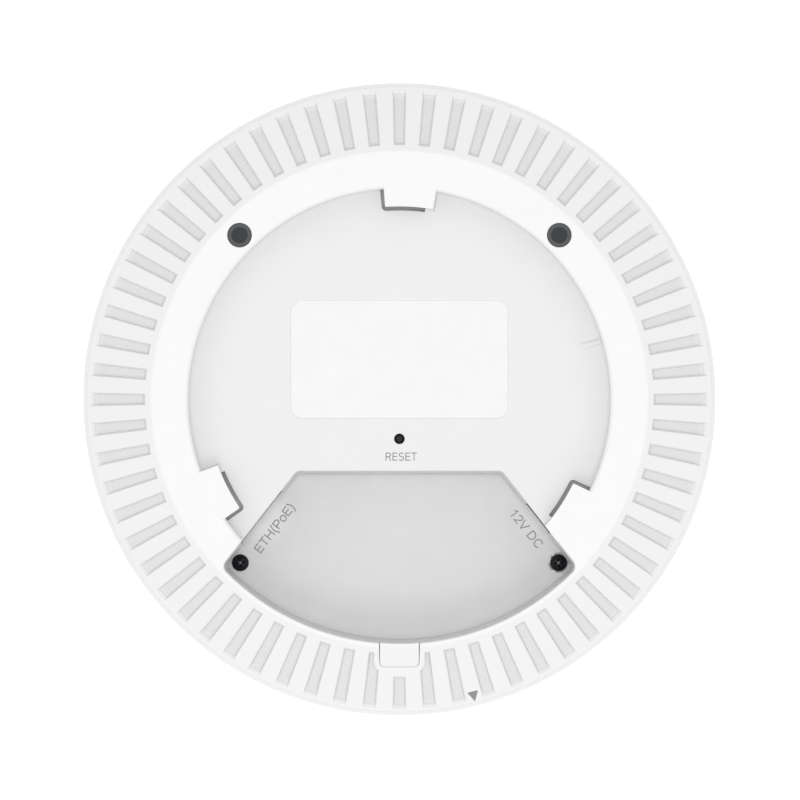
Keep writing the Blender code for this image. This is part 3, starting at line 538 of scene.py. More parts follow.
def metal(name, colour, rough, brush=(1.0, 1.0, 1.0), size_mm=0.6, spread=0.12, bump_mm=0.004, metallic=1.0):
    made = bpy.data.materials.new(name)
    made.use_nodes = True
    tree = made.node_tree
    nodes, links = tree.nodes, tree.links
    shader = nodes["Principled BSDF"]
    shader.inputs["Metallic"].default_value = metallic
    place = nodes.new("ShaderNodeTexCoord")
    stretch = nodes.new("ShaderNodeMapping")
    stretch.inputs["Scale"].default_value = brush
    links.new(place.outputs["Object"], stretch.inputs["Vector"])
    lines = nodes.new("ShaderNodeTexNoise")
    lines.inputs["Scale"].default_value = 1.0 / (size_mm * MM)
    lines.inputs["Detail"].default_value = 5.0
    links.new(stretch.outputs["Vector"], lines.inputs["Vector"])
    shade = nodes.new("ShaderNodeValToRGB")
    shade.color_ramp.elements[0].position, shade.color_ramp.elements[1].position = 0.3, 0.75
    shade.color_ramp.elements[0].color = (*[c * 0.82 for c in colour], 1.0)
    shade.color_ramp.elements[1].color = (*colour, 1.0)
    links.new(lines.outputs["Fac"], shade.inputs["Fac"])
    links.new(shade.outputs["Color"], shader.inputs["Base Color"])
    rr = nodes.new("ShaderNodeMapRange")
    rr.inputs["To Min"].default_value, rr.inputs["To Max"].default_value = rough - spread, rough + spread
    links.new(lines.outputs["Fac"], rr.inputs["Value"])
    links.new(rr.outputs["Result"], shader.inputs["Roughness"])
    bump = nodes.new("ShaderNodeBump")
    bump.inputs["Strength"].default_value = 0.4
    bump.inputs["Distance"].default_value = bump_mm * MM
    links.new(lines.outputs["Fac"], bump.inputs["Height"])
    links.new(bump.outputs["Normal"], shader.inputs["Normal"])
    made.diffuse_color = (*colour, 1.0)
    return made


WHITE = plastic("white_abs_fine_grain", (0.66, 0.66, 0.66), 0.50, grain=0.30, grain_mm=0.25, mottle=0.004, spec=0.25)
# medium grain in a middle white: painted shade on the slope lands and the shallow end of each slot scoop, a painted
# highlight on the flat ring of the label pocket lip; the exit lid takes it too
WHITE_BAND_SHADE_HIGHLIGHT = plastic("white_abs_medium_grain_painted_shade_highlight", (0.640, 0.640, 0.640), 0.52, grain=0.35, grain_mm=0.28, mottle=0.004, spec=0.22)
# coarser grain, with painted shade: the recess floor is a darker white, darkest towards the recess wall
WHITE_GRAIN_SHADE = plastic("white_abs_coarse_grain_painted_shade", (0.580, 0.580, 0.580), 0.56, grain=0.45, grain_mm=0.32, mottle=0.004, spec=0.2,
                    painted_light=((0.0, 0.0, 42.0, 53.6, 1.058),))
# painted shade: a dark grey laid on the hook pocket floors, where the pockets lie in shade
POCKET_SHADE = plastic("painted_pocket_shade", (0.40, 0.405, 0.415), 0.6, grain=0.4, grain_mm=0.25, mottle=0.01, spec=0.2)
DOME = plastic("white_abs_satin", (0.645, 0.645, 0.645), 0.40, grain=0.22, grain_mm=0.35, mottle=0.004, spec=0.45)
# painted shade: the slot floors are a darker white than the slope around them
WHITE_SLOT_SHADE = plastic("white_abs_slot_floor_painted_shade", (0.572, 0.572, 0.572), 0.56, grain=0.45, grain_mm=0.32, mottle=0.004, spec=0.2)
# the same grey tray plastic, lighter: painted light on the steep tray walls
GREY_WALL_LIT = plastic("grey_abs_tray_wall_painted_light", (0.668, 0.673, 0.681), 0.45, grain=0.35, grain_mm=0.25, mottle=0.006, spec=0.3)
# grey tray with painted light: the floor is painted lighter in front of the network and power windows
GREY_TRAY_WINDOW_LIGHT = plastic("grey_abs_tray", (0.528, 0.530, 0.535), 0.52, grain=0.55, grain_mm=0.30, mottle=0.010, spec=0.35,
               painted_light=((ETH_X - 1.0, ETH_Y + 0.8, 3.0, 10.5, 1.24), (DC_X + 1.0, DC_Y + 0.8, 2.0, 8.5, 1.15)))
FILM = plastic("label_film", (0.632, 0.632, 0.632), 0.50, grain=0.12, grain_mm=0.6, mottle=0.003, spec=0.4)
# the plug's rounded rim carries a paler ring of painted light
RUBBER = [
    plastic("dark_rubber_%s" % s, (0.030, 0.032, 0.034), 0.66, grain=0.6, grain_mm=0.18, mottle=0.05, spec=0.15,
            painted_rim_light=(sx * SCREW_X, SCREW_Y, 1.95, 2.15, (0.072, 0.075, 0.078)))
    for s, sx in (("left", -1), ("right", 1))
]
BLACK_STEEL = plastic("black_oxide_steel", (0.0035, 0.004, 0.006), 0.30, grain=0.06, grain_mm=0.30, mottle=0.10, rough_spread=0.06, spec=0.22)
BLACK_NYLON = plastic("black_nylon", (0.028, 0.028, 0.030), 0.45, grain=0.5, grain_mm=0.25, mottle=0.04)
RESET_BLACK = plastic("reset_nylon", (0.012, 0.013, 0.014), 0.5, grain=0.5, grain_mm=0.2, mottle=0.04, spec=0.12)
INK = plastic("grey_ink", (0.20, 0.205, 0.21), 0.6, grain=0.2, grain_mm=0.15, mottle=0.03, spec=0.2)
TRAY_INK = plastic("grey_ink_on_tray", (0.235, 0.24, 0.245), 0.6, grain=0.2, grain_mm=0.15, mottle=0.03, spec=0.2)
SHELL = metal("tinned_shell", (0.68, 0.68, 0.69), 0.28, brush=(1.0, 1.0, 6.0), size_mm=1.2)
GOLD = metal("gold_plate", (0.85, 0.62, 0.25), 0.22, size_mm=0.8)
ZINC = metal("zinc_plate", (0.62, 0.62, 0.64), 0.32, size_mm=0.5)
CAST = metal("cast_aluminium", (0.66, 0.66, 0.67), 0.45, size_mm=0.35, bump_mm=0.02)
TIN = metal("antenna_tin", (0.70, 0.69, 0.64), 0.30, brush=(1.0, 8.0, 1.0), size_mm=1.5)


def board_look():
    made = plastic("solder_mask", (0.008, 0.035, 0.018), 0.38, grain=0.3, grain_mm=0.5, mottle=0.06)
    nodes, links = made.node_tree.nodes, made.node_tree.links
    place = next(n for n in nodes if n.type == "TEX_COORD")
    shader = nodes["Principled BSDF"]
    tracks = nodes.new("ShaderNodeTexBrick")
    tracks.inputs["Scale"].default_value = 260.0
    tracks.inputs["Mortar Size"].default_value = 0.10
    tracks.inputs["Color1"].default_value = (0.008, 0.035, 0.018, 1)
    tracks.inputs["Color2"].default_value = (0.010, 0.042, 0.021, 1)
    tracks.inputs["Mortar"].default_value = (0.018, 0.070, 0.034, 1)
    links.new(place.outputs["Object"], tracks.inputs["Vector"])
    links.new(tracks.outputs["Color"], shader.inputs["Base Color"])
    return made


BOARD = board_look()
CHIP = plastic("moulded_epoxy", (0.022, 0.022, 0.024), 0.55, grain=0.6, grain_mm=0.15, mottle=0.05)
PAD = plastic("thermal_pad", (0.36, 0.44, 0.55), 0.8, grain=0.8, grain_mm=0.6, mottle=0.05)
FERRITE = plastic("ferrite", (0.085, 0.085, 0.092), 0.7, grain=0.9, grain_mm=0.3, mottle=0.08)
SLEEVE = plastic("capacitor_sleeve", (0.035, 0.06, 0.17), 0.3, grain=0.1, grain_mm=0.8, mottle=0.03)
LED_LOOK = plastic("led_package", (0.80, 0.79, 0.62), 0.3, grain=0.1, grain_mm=0.4, mottle=0.02)
LENS = plastic("frosted_lens", (0.86, 0.88, 0.89), 0.22, grain=0.1, grain_mm=0.3, mottle=0.01)
LENS.node_tree.nodes["Principled BSDF"].inputs["Transmission Weight"].default_value = 0.5

# ------------------------------------------------------------------ rear cover
rear = spin(
    "rear_shell",
    fillet(
        [
            (0.0, -RECESS_DEPTH, 0, 0),
            (RECESS_R, -RECESS_DEPTH, 1.1, 6),
            (RECESS_R, 0.0, 1.15, 7),
            (RING_OUT_R, 0.0, 2.2, 4),
            (EDGE_R, slope_z(EDGE_R), 0.06, 2),
            (EDGE_R, COVER_SKIRT_Z, 0.2, 1),
            (COVER_R - 1.8, COVER_SKIRT_Z, 0.2, 1),
            (COVER_R - 1.8, slope_z(COVER_R - 1.8) - SLOPE_WALL, 0, 0),
            (RING_OUT_R - 0.5, slope_z(RING_OUT_R - 0.5) - SLOPE_WALL, 0, 0),
            (RING_OUT_R - 1.5, -WALL, 0, 0),
            (RECESS_R + WALL, -WALL, 0, 0),
            (RECESS_R + WALL, RECESS_UNDER, 0, 0),
            (0.0, RECESS_UNDER, 0, 0),
        ]
    ),
)

# label pocket with a soft lip
cut(rear, stack("label_pocket", [(label_outline(0.0), -RECESS_DEPTH - LABEL_POCKET), (label_outline(0.0), -RECESS_DEPTH - LABEL_POCKET + 0.15),
                                 (label_outline(0.0), -RECESS_DEPTH - 0.10), (label_outline(-0.06), -RECESS_DEPTH - 0.045), (label_outline(-0.32), -RECESS_DEPTH - 0.03), (label_outline(-0.36), -RECESS_DEPTH + 0.01), (label_outline(-0.36), 2.0)]))

skirt = prism("skirt", bay_outline(-BAY_SKIRT), BAY_SKIRT_Z, -1.0)
join(skirt, box("exit_block", -EXIT_HALF - 1.8, EXIT_HALF + 1.8, EXIT_END_Y - 1.8, -58.0, BAY_SKIRT_Z, -3.0))
cut(skirt, prism("recess_keep", circle(0, 0, 2 * (RECESS_R + 0.9), 256), -RECESS_DEPTH - 0.6, 1.0))
join(rear, skirt)

# bayonet tabs: rounded free corner, softened upper edge, stop wall at the closed end
addons = []
for k in range(3):
    t = 120.0 * k
    # beside the power socket the closed end of the third tab runs on to the bay at full height
    t0 = t - (TAB_LAND if k == 2 else 0.0)
    tab = stack(
        "tab",
        [
            (polar_outline(TAB_IN_R + 0.12, RECESS_R + 1.6, TAB_START + t0 + 0.15, TAB_END + t - 0.12, 16, "end", 0.45), -TAB_THICK),
            (polar_outline(TAB_IN_R, RECESS_R + 1.6, TAB_START + t0, TAB_END + t, 16, "end", 0.45), -TAB_THICK + 0.12),
            (polar_outline(TAB_IN_R, RECESS_R + 1.6, TAB_START + t0, TAB_END + t, 16, "end", 0.45), -0.30),
            (polar_outline(TAB_IN_R + 0.09, RECESS_R + 1.6, TAB_START + t0 + 0.10, TAB_END + t - 0.08, 16, "end", 0.45), -0.09),
            (polar_outline(TAB_IN_R + 0.30, RECESS_R + 1.6, TAB_START + t0 + 0.33, TAB_END + t - 0.28, 16, "end", 0.45), 0.0),
        ],
    )
    stop = stack(
        "stop",
        [
            (polar_outline(TAB_IN_R - 0.55, RECESS_R + 1.2, TAB_START + t0 - 0.60, TAB_STOP + t, 6), -RECESS_DEPTH - 0.8),
            (polar_outline(TAB_IN_R - 0.45, RECESS_R + 1.2, TAB_START + t0 - 0.50, TAB_STOP + t, 6), -RECESS_DEPTH + 0.05),
            (polar_outline(TAB_IN_R - 0.12, RECESS_R + 1.2, TAB_START + t0 - 0.16, TAB_STOP + t, 6), -RECESS_DEPTH + 0.55),
            (polar_outline(TAB_IN_R + 0.05, RECESS_R + 1.2, TAB_START + t0 + 0.06, TAB_STOP + t, 6), -0.6),
        ],
    )
    join(tab, stop)
    addons.append(tab)
    addons.append(prism("pocket_block", polar_outline(TAB_GAP_R - 1.2, RECESS_R + 0.9, TAB_STOP - 1.3 + t, TAB_GAP + 1.4 + t, 16), POCKET_FLOOR_Z - POCKET_SHEET, RECESS_UNDER + 0.9))

# detent rib: half-round end, rounded top
_rib = []
for d, z in ((-0.32, -0.6), (-0.30, 0.02), (-0.08, 0.16), (0.06, 0.36), (0.22, RIB_HEIGHT - 0.04), (0.36, RIB_HEIGHT)):
    w = RIB_WIDTH / 2 - d
    ring = [(RECESS_R + 1.0, w)] + [(RIB_IN_R + 4.0 * max(z, 0.0) + RIB_WIDTH / 2 - w * math.sin(math.pi * j / 10), w * math.cos(math.pi * j / 10)) for j in range(11)] + [(RECESS_R + 1.0, -w)]
    _rib.append((ring, -RECESS_DEPTH + z))
addons.append(moved(stack("rib", _rib), degrees=RIB_DEG))
join(rear, joined("addons", addons))

# wells for the upper case screws and the guide of the reset button, under the shell
join(rear, joined("wells", [prism("well", circle(sx * SCREW_X, SCREW_Y, WELL_OUT_D), BOARD_TOP_Z + GAP, -1.0) for sx in (-1, 1)]
                  + [prism("guide", circle(0, RESET_Y, 6.6, 32), -9.8, RECESS_UNDER + 0.8)]))

# first set of openings; none of these touch each other
cut(rear, prism("bay", bay_outline(0.0), -12.0, 2.0))
first = []
for k in range(3):
    t = 120.0 * k
    first.append(prism("window", polar_outline(TAB_GAP_R, RECESS_R - 0.02, TAB_STOP + t, TAB_GAP + t, 16, "end", 1.15), POCKET_FLOOR_Z, -TAB_THICK - 0.05))
for sx in (-1, 1):
    ring = lambda d: circle(sx * SCREW_X, SCREW_Y, d)
    first.append(stack("bore", [(ring(WELL_D), WELL_SEAT_Z), (ring(WELL_D), -2.2), (ring(PLUG_D + 0.06), -1.9), (ring(PLUG_D + 0.06), -0.30), (ring(PLUG_D + 0.12), -0.10), (ring(PLUG_D + 0.34), 0.02), (ring(PLUG_D + 0.34), 2.0)]))
first.append(stack("reset_hole", [(circle(0, RESET_Y, RESET_HOLE_D, 40), RECESS_UNDER - 1.0), (circle(0, RESET_Y, RESET_HOLE_D, 40), -RECESS_DEPTH - 0.2),
                                  (circle(0, RESET_Y, RESET_HOLE_D + 0.3, 40), -RECESS_DEPTH + 0.02), (circle(0, RESET_Y, RESET_HOLE_D + 0.3, 40), 1.0)]))
cut(rear, joined("first", first))

second = [stack("notch", [(exit_outline(EXIT_HALF + 0.11, EXIT_END_Y - 0.05, EXIT_CORNER + 0.08, -59.5, flare=0.16), EXIT_FLOOR_Z), (exit_outline(EXIT_HALF + 0.11, EXIT_END_Y - 0.05, EXIT_CORNER + 0.08, -59.5, flare=0.16), 2.0)])]
for x, y, angle, width in ((ETH_X, ETH_Y, PORT_ANGLE, ETH_WINDOW), (DC_X, DC_Y, PORT_ANGLE_RIGHT, DC_WINDOW)):
    second.append(moved(box("port", -1.5, 3.0, -width / 2, width / 2, -12.0, RECESS_UNDER), x, y, degrees=angle))
for sx in (-1, 1):
    second.append(prism("bore", circle(sx * SCREW_X, SCREW_Y, SHANK_D + 2 * GAP, 24), -22.0, -15.0))
second.append(prism("reset_bore", circle(0, RESET_Y, 5.0, 40), -12.0, RECESS_UNDER - 0.01))
cut(rear, joined("second", second))

# bay lip: a small chamfer along the ring and along the recess floor
lip = stack("lip", [(bay_outline(0.05), -0.55), (bay_outline(-0.02), -0.32), (bay_outline(-0.30), 0.03), (bay_outline(-0.30), 0.6)])
cut(lip, prism("inside", circle(0, 0, 2 * (RECESS_R + 0.35), 256), -3.0, 3.0))
cut(rear, lip)
lip = stack("lip2", [(bay_outline(0.05), -RECESS_DEPTH - 0.45), (bay_outline(-0.02), -RECESS_DEPTH - 0.28), (bay_outline(-0.25), -RECESS_DEPTH + 0.03), (bay_outline(-0.25), -RECESS_DEPTH + 0.6)])
keep(lip, prism("inside", circle(0, 0, 2 * (RECESS_R - 0.45), 256), -9.0, 3.0))
cut(rear, lip)


# 64 radial slots: drafted sides, floor parallel to the slope, scooped outer end
def slot_cutter(k):
    a = 2 * math.pi * k / SLOTS
    start = SHORT_SLOT_IN_R if k == SLOTS * 3 // 4 else SLOT_IN_R
    d = SLOT_DEPTH
    section = [(start - 0.14, 0.03, 0.14), (start, -0.14, 0.0), (start + 0.16, -d + 0.60, -0.14), (start + 0.30, -d + 0.18, -0.27), (start + 0.50, -d, -0.38)]
    section += [(start + 0.7 + (76.3 - start - 0.7) * j / 4, -d, -0.38) for j in range(5)]
    section += [(76.7, -d * 0.95, -0.36), (77.05, -d * 0.82, -0.31), (77.35, -d * 0.66, -0.24), (77.65, -d * 0.46, -0.15), (77.95, -d * 0.24, -0.06), (78.2, -0.14, 0.0), (78.36, 0.04, 0.12)]
    # each entry: radius, height over the slope, extra half-width at that height
    n = len(section)
    points, faces = [], []
    half = math.radians(SLOT_DEG / 2)

    def put(r, h, side, extra):
        half_width = r * math.sin(half) + extra
        base = r * math.cos(half)
        x, y = base, side * half_width
        points.append((x * math.cos(a) - y * math.sin(a), x * math.sin(a) + y * math.cos(a), slope_z(r) + h))
        return len(points) - 1

    # four rails along the slot: low left, low right, then the lip and the air above it
    low_l = [put(r, h, -1, e) for r, h, e in section]
    low_r = [put(r, h, 1, e) for r, h, e in section]
    foot_l = [put(r, max(h, min(-0.14, -d + 0.18)), -1, max(e, -0.27)) for r, h, e in section]
    foot_r = [put(r, max(h, min(-0.14, -d + 0.18)), 1, max(e, -0.27)) for r, h, e in section]
    wall_l = [put(r, max(h, min(-0.14, -d + 0.60)), -1, max(e, -0.14)) for r, h, e in section]
    wall_r = [put(r, max(h, min(-0.14, -d + 0.60)), 1, max(e, -0.14)) for r, h, e in section]
    mid_l = [put(r, max(h, -0.14), -1, max(e, 0.0)) for r, h, e in section]
    mid_r = [put(r, max(h, -0.14), 1, max(e, 0.0)) for r, h, e in section]
    lip_l = [put(r, max(h, 0.03), -1, max(e, 0.14)) for r, h, e in section]
    lip_r = [put(r, max(h, 0.03), 1, max(e, 0.14)) for r, h, e in section]
    top_l = [put(r, 1.4, -1, max(e, 0.14)) for r, h, e in section]
    top_r = [put(r, 1.4, 1, max(e, 0.14)) for r, h, e in section]
    loops = [top_l, lip_l, mid_l, wall_l, foot_l, low_l, low_r, foot_r, wall_r, mid_r, lip_r, top_r]
    for j in range(n - 1):
        for p, q in zip(loops, loops[1:] + loops[:1]):
            faces.append((p[j], p[j + 1], q[j + 1], q[j]))
    faces.append(tuple(loop[0] for loop in loops))
    faces.append(tuple(loop[-1] for loop in reversed(loops)))
    obj = solid("slot", points, faces)
    bm = bmesh.new()
    bm.from_mesh(obj.data)
    bmesh.ops.remove_doubles(bm, verts=bm.verts, dist=0.0005 * MM)
    bmesh.ops.dissolve_degenerate(bm, dist=0.0005 * MM, edges=bm.edges)
    bmesh.ops.recalc_face_normals(bm, faces=bm.faces)
    bm.to_mesh(obj.data)
    bm.free()
    return obj


slots = joined("slots", [slot_cutter(k) for k in range(SLOTS)])
cut(slots, prism("exit_keep", exit_outline(EXIT_HALF + EXIT_KEEP, EXIT_END_Y - EXIT_KEEP, EXIT_CORNER + EXIT_KEEP, -60.0), -12.0, 3.0))
cut(rear, slots)
smooth(rear, 28.0)
dress(rear, WHITE, stands_for=["rear_cover"])
# the recess floor carries a coarser grain and painted shade, darker towards its wall; the hook pocket floors carry
# painted shade in dark grey; the slot floors carry painted shade, darker than the slope; the slope lands, the shallow
# end of each slot scoop and a flat ring on the label pocket lip carry a middle white: painted shade on the slope, a
# painted highlight on the lip
for look in (WHITE_GRAIN_SHADE, WHITE_BAND_SHADE_HIGHLIGHT, POCKET_SHADE, WHITE_SLOT_SHADE):
    rear.data.materials.append(look)
for poly in rear.data.polygons:
    c, up = poly.center / MM, poly.normal.z
    r = math.hypot(c.x, c.y)
    sunk = slope_z(r) - c.z
    # hook pocket floors: painted shade
    if 46.5 < r < RECESS_R and POCKET_FLOOR_Z - 0.3 < c.z < -RECESS_DEPTH - 0.3:
        poly.material_index = 3
    # flat ring on the label pocket lip: painted highlight
    elif abs(c.x) < 32.0 and abs(c.y - LABEL_CY) < 18.0 and -0.06 < c.z + RECESS_DEPTH < -0.02:
        poly.material_index = 2
    # slot floors: painted shade
    elif 64.0 < r < 77.4 and SLOT_DEPTH - 0.2 < sunk < SLOT_DEPTH + 0.2 and up > 0:
        poly.material_index = 4
    # scooped slot ends: the deeper part takes the slot floor painted shade, the shallow part the middle white
    elif 76.3 < r < 78.3 and 0.1 < sunk < SLOT_DEPTH and up > 0.5:
        poly.material_index = 4 if sunk > 0.45 * SLOT_DEPTH else 2
    elif r < RECESS_R - 0.02 and -0.56 < c.z + RECESS_DEPTH < 0.9 and (up > 0.75 or abs(math.degrees(math.atan2(c.y, c.x)) - RIB_DEG) < 1.2):
        poly.material_index = 1
    # slope lands: painted shade
    elif r > RING_OUT_R and sunk < 0.6 and up > 0:
        poly.material_index = 2

# ------------------------------------------------------------------- port bay
windows = (((ETH_X, ETH_Y), ETH_WINDOW), ((DC_X, DC_Y), DC_WINDOW))
bay = prism("bay_tray", bay_outline(-BAY_WALL), BAY_FLOOR_Z - BAY_SHEET, BAY_RIM_Z)
_rise = BAY_DRAFT / (BAY_RIM_Z - BAY_FLOOR_Z)
layers = []
for lift, extra in ((0.0, 0.0), (0.45, 0.0)):
    layers.append((bay_outline(BAY_DRAFT - _rise * lift + extra, windows, -0.12), BAY_FLOOR_Z + lift))
layers.append((bay_outline(-_rise * 1.0, windows, -0.12), BAY_RIM_Z + 1.0))
cut(bay, stack("bay_inside", layers))
groove = prism("groove", bay_outline(BAY_DRAFT + 0.01), BAY_FLOOR_Z - 0.12, BAY_FLOOR_Z + 0.04)
cut(groove, prism("inner", bay_outline(BAY_DRAFT + 0.22), BAY_FLOOR_Z - 1.0, BAY_FLOOR_Z + 1.0))
for x, y, angle, width in ((ETH_X, ETH_Y, PORT_ANGLE, ETH_WINDOW), (DC_X, DC_Y, PORT_ANGLE_RIGHT, DC_WINDOW)):
    cut(groove, moved(box("port", -3.0, 3.0, -width / 2 - 0.1, width / 2 + 0.1, -22.0, -4.0), x, y, degrees=angle))
cut(bay, groove)
for x, y, angle, width in ((ETH_X, ETH_Y, PORT_ANGLE, ETH_WINDOW), (DC_X, DC_Y, PORT_ANGLE_RIGHT, DC_WINDOW)):
    cut(bay, moved(box("port", 0.0, 4.0, -width / 2, width / 2, -22.0, -4.0), x, y, degrees=angle))
for sx in (-1, 1):
    ring = lambda d: circle(sx * SCREW_X, -SCREW_Y, d, 64)
    cut(bay, stack("relief", [(ring(5.1), BAY_FLOOR_Z), (ring(5.2), BAY_FLOOR_Z + 0.2), (ring(5.3), BAY_FLOOR_Z + 2.0), (ring(5.3), -4.0)]))
    cut(bay, prism("bore", circle(sx * SCREW_X, -SCREW_Y, SHANK_D + 2 * GAP, 24), -22.0, -15.0))
smooth(bay, 30.0)
dress(bay, GREY_TRAY_WINDOW_LIGHT, stands_for=["port_bay"])
# steep faces of the tray take the lighter grey: painted light on the walls
bay.data.materials.append(GREY_WALL_LIT)
for poly in bay.data.polygons:
    if abs(poly.normal.z) < 0.6 and poly.center.z > (BAY_FLOOR_Z - 0.05) * MM:
        poly.material_index = 1

# ----------------------------------------------------------------- front cover
front = spin(
    "front_shell",
    fillet(
        [
            (EDGE_R + 0.008, slope_z(EDGE_R) - 0.03, 0, 0),
            (79.86, slope_z(EDGE_R) - 0.66, 0.5, 4),
            (80.2, slope_z(EDGE_R) - 1.6, 0.9, 5),
            (80.2, -12.0, 6.0, 6),
            (79.1, -17.2, 8.0, 6),
            (76.4, -22.6, 8.0, 6),
            (71.4, -27.0, 9.0, 6),
            (63.0, -30.5, 14.0, 6),
            (49.0, -32.7, 20.0, 6),
            (25.0, -33.55, 30.0, 6),
            (0.0, -BODY_DEPTH, 0, 0),
            (0.0, -31.6, 0, 0),
            (48.0, -30.6, 10.0, 4),
            (61.0, -28.6, 8.0, 4),
            (69.5, -25.2, 8.0, 4),
            (75.2, -19.6, 8.0, 4),
            (77.6, -13.5, 2.0, 2),
            (77.6, -11.1, 0, 0),
            (EDGE_R + 0.008, -11.1, 0, 0),
        ]
    ),
)
posts = [prism("post", circle(sx * SCREW_X, sy * SCREW_Y, 6.5, 32), -30.0, BOARD_TOP_Z) for sx in (-1, 1) for sy in (-1, 1)]
bosses = [prism("boss", circle(x, y, 5.6, 24), -28.8, BOARD_TOP_Z - BOARD_THICK - GAP) for x, y in ((-61.0, 5.0), (61.0, 5.0), (-20.0, 60.0), (20.0, 60.0))]
join(front, joined("posts", posts + bosses))
bores = [prism("bore", circle(sx * SCREW_X, sy * SCREW_Y, SHANK_D + 2 * GAP, 24), -28.4, -15.0) for sx in (-1, 1) for sy in (-1, 1)]
bores += [prism("bore", circle(x, y, 2.6, 16), -27.2, -15.0) for x, y in ((-61.0, 5.0), (61.0, 5.0), (-20.0, 60.0), (20.0, 60.0))]
bores += [prism("lens_hole", circle(0, LED_Y, 3.6, 40), -40.0, -20.0)]
cut(front, joined("bores", bores))
smooth(front, 30.0)
dress(front, DOME, stands_for=["front_cover"])

# ------------------------------------------------------------ cable exit cover
def lid_height(d):
    return [(-50.0, -12.0), (-80.0, -12.0), (-80.0, slope_z(80.0)), (-64.4, slope_z(64.4) - 0.0), (-63.6, -0.16), (-62.6, -0.03), (-61.0, 0.0), (-50.0, 0.0)]


lid = prism("exit_lid", exit_outline(EXIT_HALF, EXIT_END_Y, EXIT_CORNER, -59.0, 10), EXIT_FLOOR_Z + GAP, 1.0)
keep(lid, extruded("lid_top", lid_height(0), -12.0, 12.0))
cut(lid, prism("bay_side", circle(0, 0, 2 * BAY_ARC_R, 360), -12.0, 3.0))
cut(lid, extruded("lid_hollow", [(-63.4, -12.0), (-66.3, -12.0), (-66.3, slope_z(66.3) - 1.6), (-63.4, -1.8)], -EXIT_HALF + 1.3, EXIT_HALF - 1.3))
soft_edges(lid, 0.22, 3, 40.0)
smooth(lid, 40.0)
dress(lid, WHITE_BAND_SHADE_HIGHLIGHT, body="exit_cover", stands_for=["cable_exit_cover"])

# ----------------------------------------------------------------------- plugs
for n, (side, sx) in enumerate((("left", -1), ("right", 1))):
    plug = spin(
        "rubber_plug_" + side,
        fillet(
            [
                (0.0, -PLUG_SINK - 0.10, 0, 0),
                (PLUG_FLAT_D / 2, -PLUG_SINK - 0.10, 0.05, 2),
                (PLUG_FLAT_D / 2 + 0.08, -PLUG_SINK, 0.05, 2),
                (PLUG_D / 2, -PLUG_SINK, 0.30, 5),
                (PLUG_D / 2, -1.6, 0.2, 3),
                (PLUG_D / 2 - 0.3, -1.9, 0.1, 2),
                (PLUG_D / 2 - 0.3, -PLUG_LENGTH, 0.6, 4),
                (0.0, -PLUG_LENGTH, 0, 0),
            ]
        ),
        72,
        (sx * SCREW_X, SCREW_Y),
    )
    smooth(plug, 40.0)
    dress(plug, RUBBER[n], body="plug_" + side, stands_for=["screw_plug_" + side])


# ---------------------------------------------------------------------- screws
def screw(name, x, y, seat, look, stands_for, head_d=HEAD_D, head_h=HEAD_H, shank_d=SHANK_D, length=10.0, count=64, cross=2.3, up=1):
    body = spin(
        name,
        fillet(
            [
                (0.0, seat + up * head_h, 0, 0),
                (head_d * 0.22, seat + up * head_h * 0.90, 0.8, 4),
                (head_d * 0.42, seat + up * head_h * 0.66, 0.8, 5),
                (head_d * 0.5, seat + up * head_h * 0.36, 0.35, 5),
                (head_d * 0.5, seat, 0.12, 2),
                (shank_d * 0.5, seat, 0, 0),
                (shank_d * 0.5, seat - up * (length - 0.8), 0, 0),
                (shank_d * 0.25, seat - up * length, 0, 0),
                (0.0, seat - up * length, 0, 0),
            ]
        ),
        count,
        (x, y),
    )
    if cross:
        # each arm of the cross runs down to a small flat in the middle
        top, half, wide = seat + up * head_h, cross / 2, 0.25
        profile = [(-half, 0.6), (-half + 0.06, -0.22), (-0.34, -1.0), (0.34, -1.0), (half - 0.06, -0.22), (half, 0.6)]
        n = len(profile)
        for turn in (0, 1):
            points = [(px_, side * (wide + (0.07 if h > 0 else 0.0) - (0.05 if h < -0.9 else 0.0)), top + up * h) for side in (-1, 1) for px_, h in profile]
            faces = [(j, (j + 1) % n, (j + 1) % n + n, j + n) for j in range(n)]
            faces += [(0, 1, 4, 5), (1, 2, 3, 4), (n, n + 5, n + 4, n + 1), (n + 1, n + 4, n + 3, n + 2)]
            cut(body, moved(solid("cross", points, faces), x, y, degrees=90 * turn + 8))
    smooth(body, 30.0)
    return dress(body, look, stands_for=stands_for)


for side, sx in (("left", -1), ("right", 1)):
    screw("bay_fastener_" + side, sx * SCREW_X, -SCREW_Y, BAY_FLOOR_Z + 0.02, BLACK_STEEL, ["bay_screw_" + side])
    screw("cover_fastener_" + side, sx * SCREW_X, SCREW_Y, WELL_SEAT_Z + GAP, BLACK_STEEL, ["cover_screw_" + side])

# ---------------------------------------------------------------- reset button
button = spin(
    "reset_plunger",
    fillet(
        [
            (0.0, RESET_TOP_Z, 0, 0),
            (RESET_PIN_D / 2, RESET_TOP_Z, 0.3, 5),
            (RESET_PIN_D / 2, -7.3, 0.1, 2),
            (2.15, -7.3, 0.2, 3),
            (2.15, -8.5, 0.2, 3),
            (1.2, -8.5, 0.1, 2),
            (1.2, -15.9, 0.3, 3),
            (0.0, -15.9, 0, 0),
        ]
    ),
    64,
    (0.0, RESET_Y),
)
smooth(button, 35.0)
dress(button, RESET_BLACK, body="reset", stands_for=["reset_button"])

# ----------------------------------------------------------------------- label
label = stack("blank_label", [(label_outline(0.02), -RECESS_DEPTH - LABEL_POCKET + 0.01), (label_outline(0.02), -RECESS_DEPTH - LABEL_POCKET + 0.12), (label_outline(0.08), -RECESS_DEPTH - LABEL_POCKET + 0.15)])
smooth(label, 50.0)
dress(label, FILM, stands_for=["rating_label"])

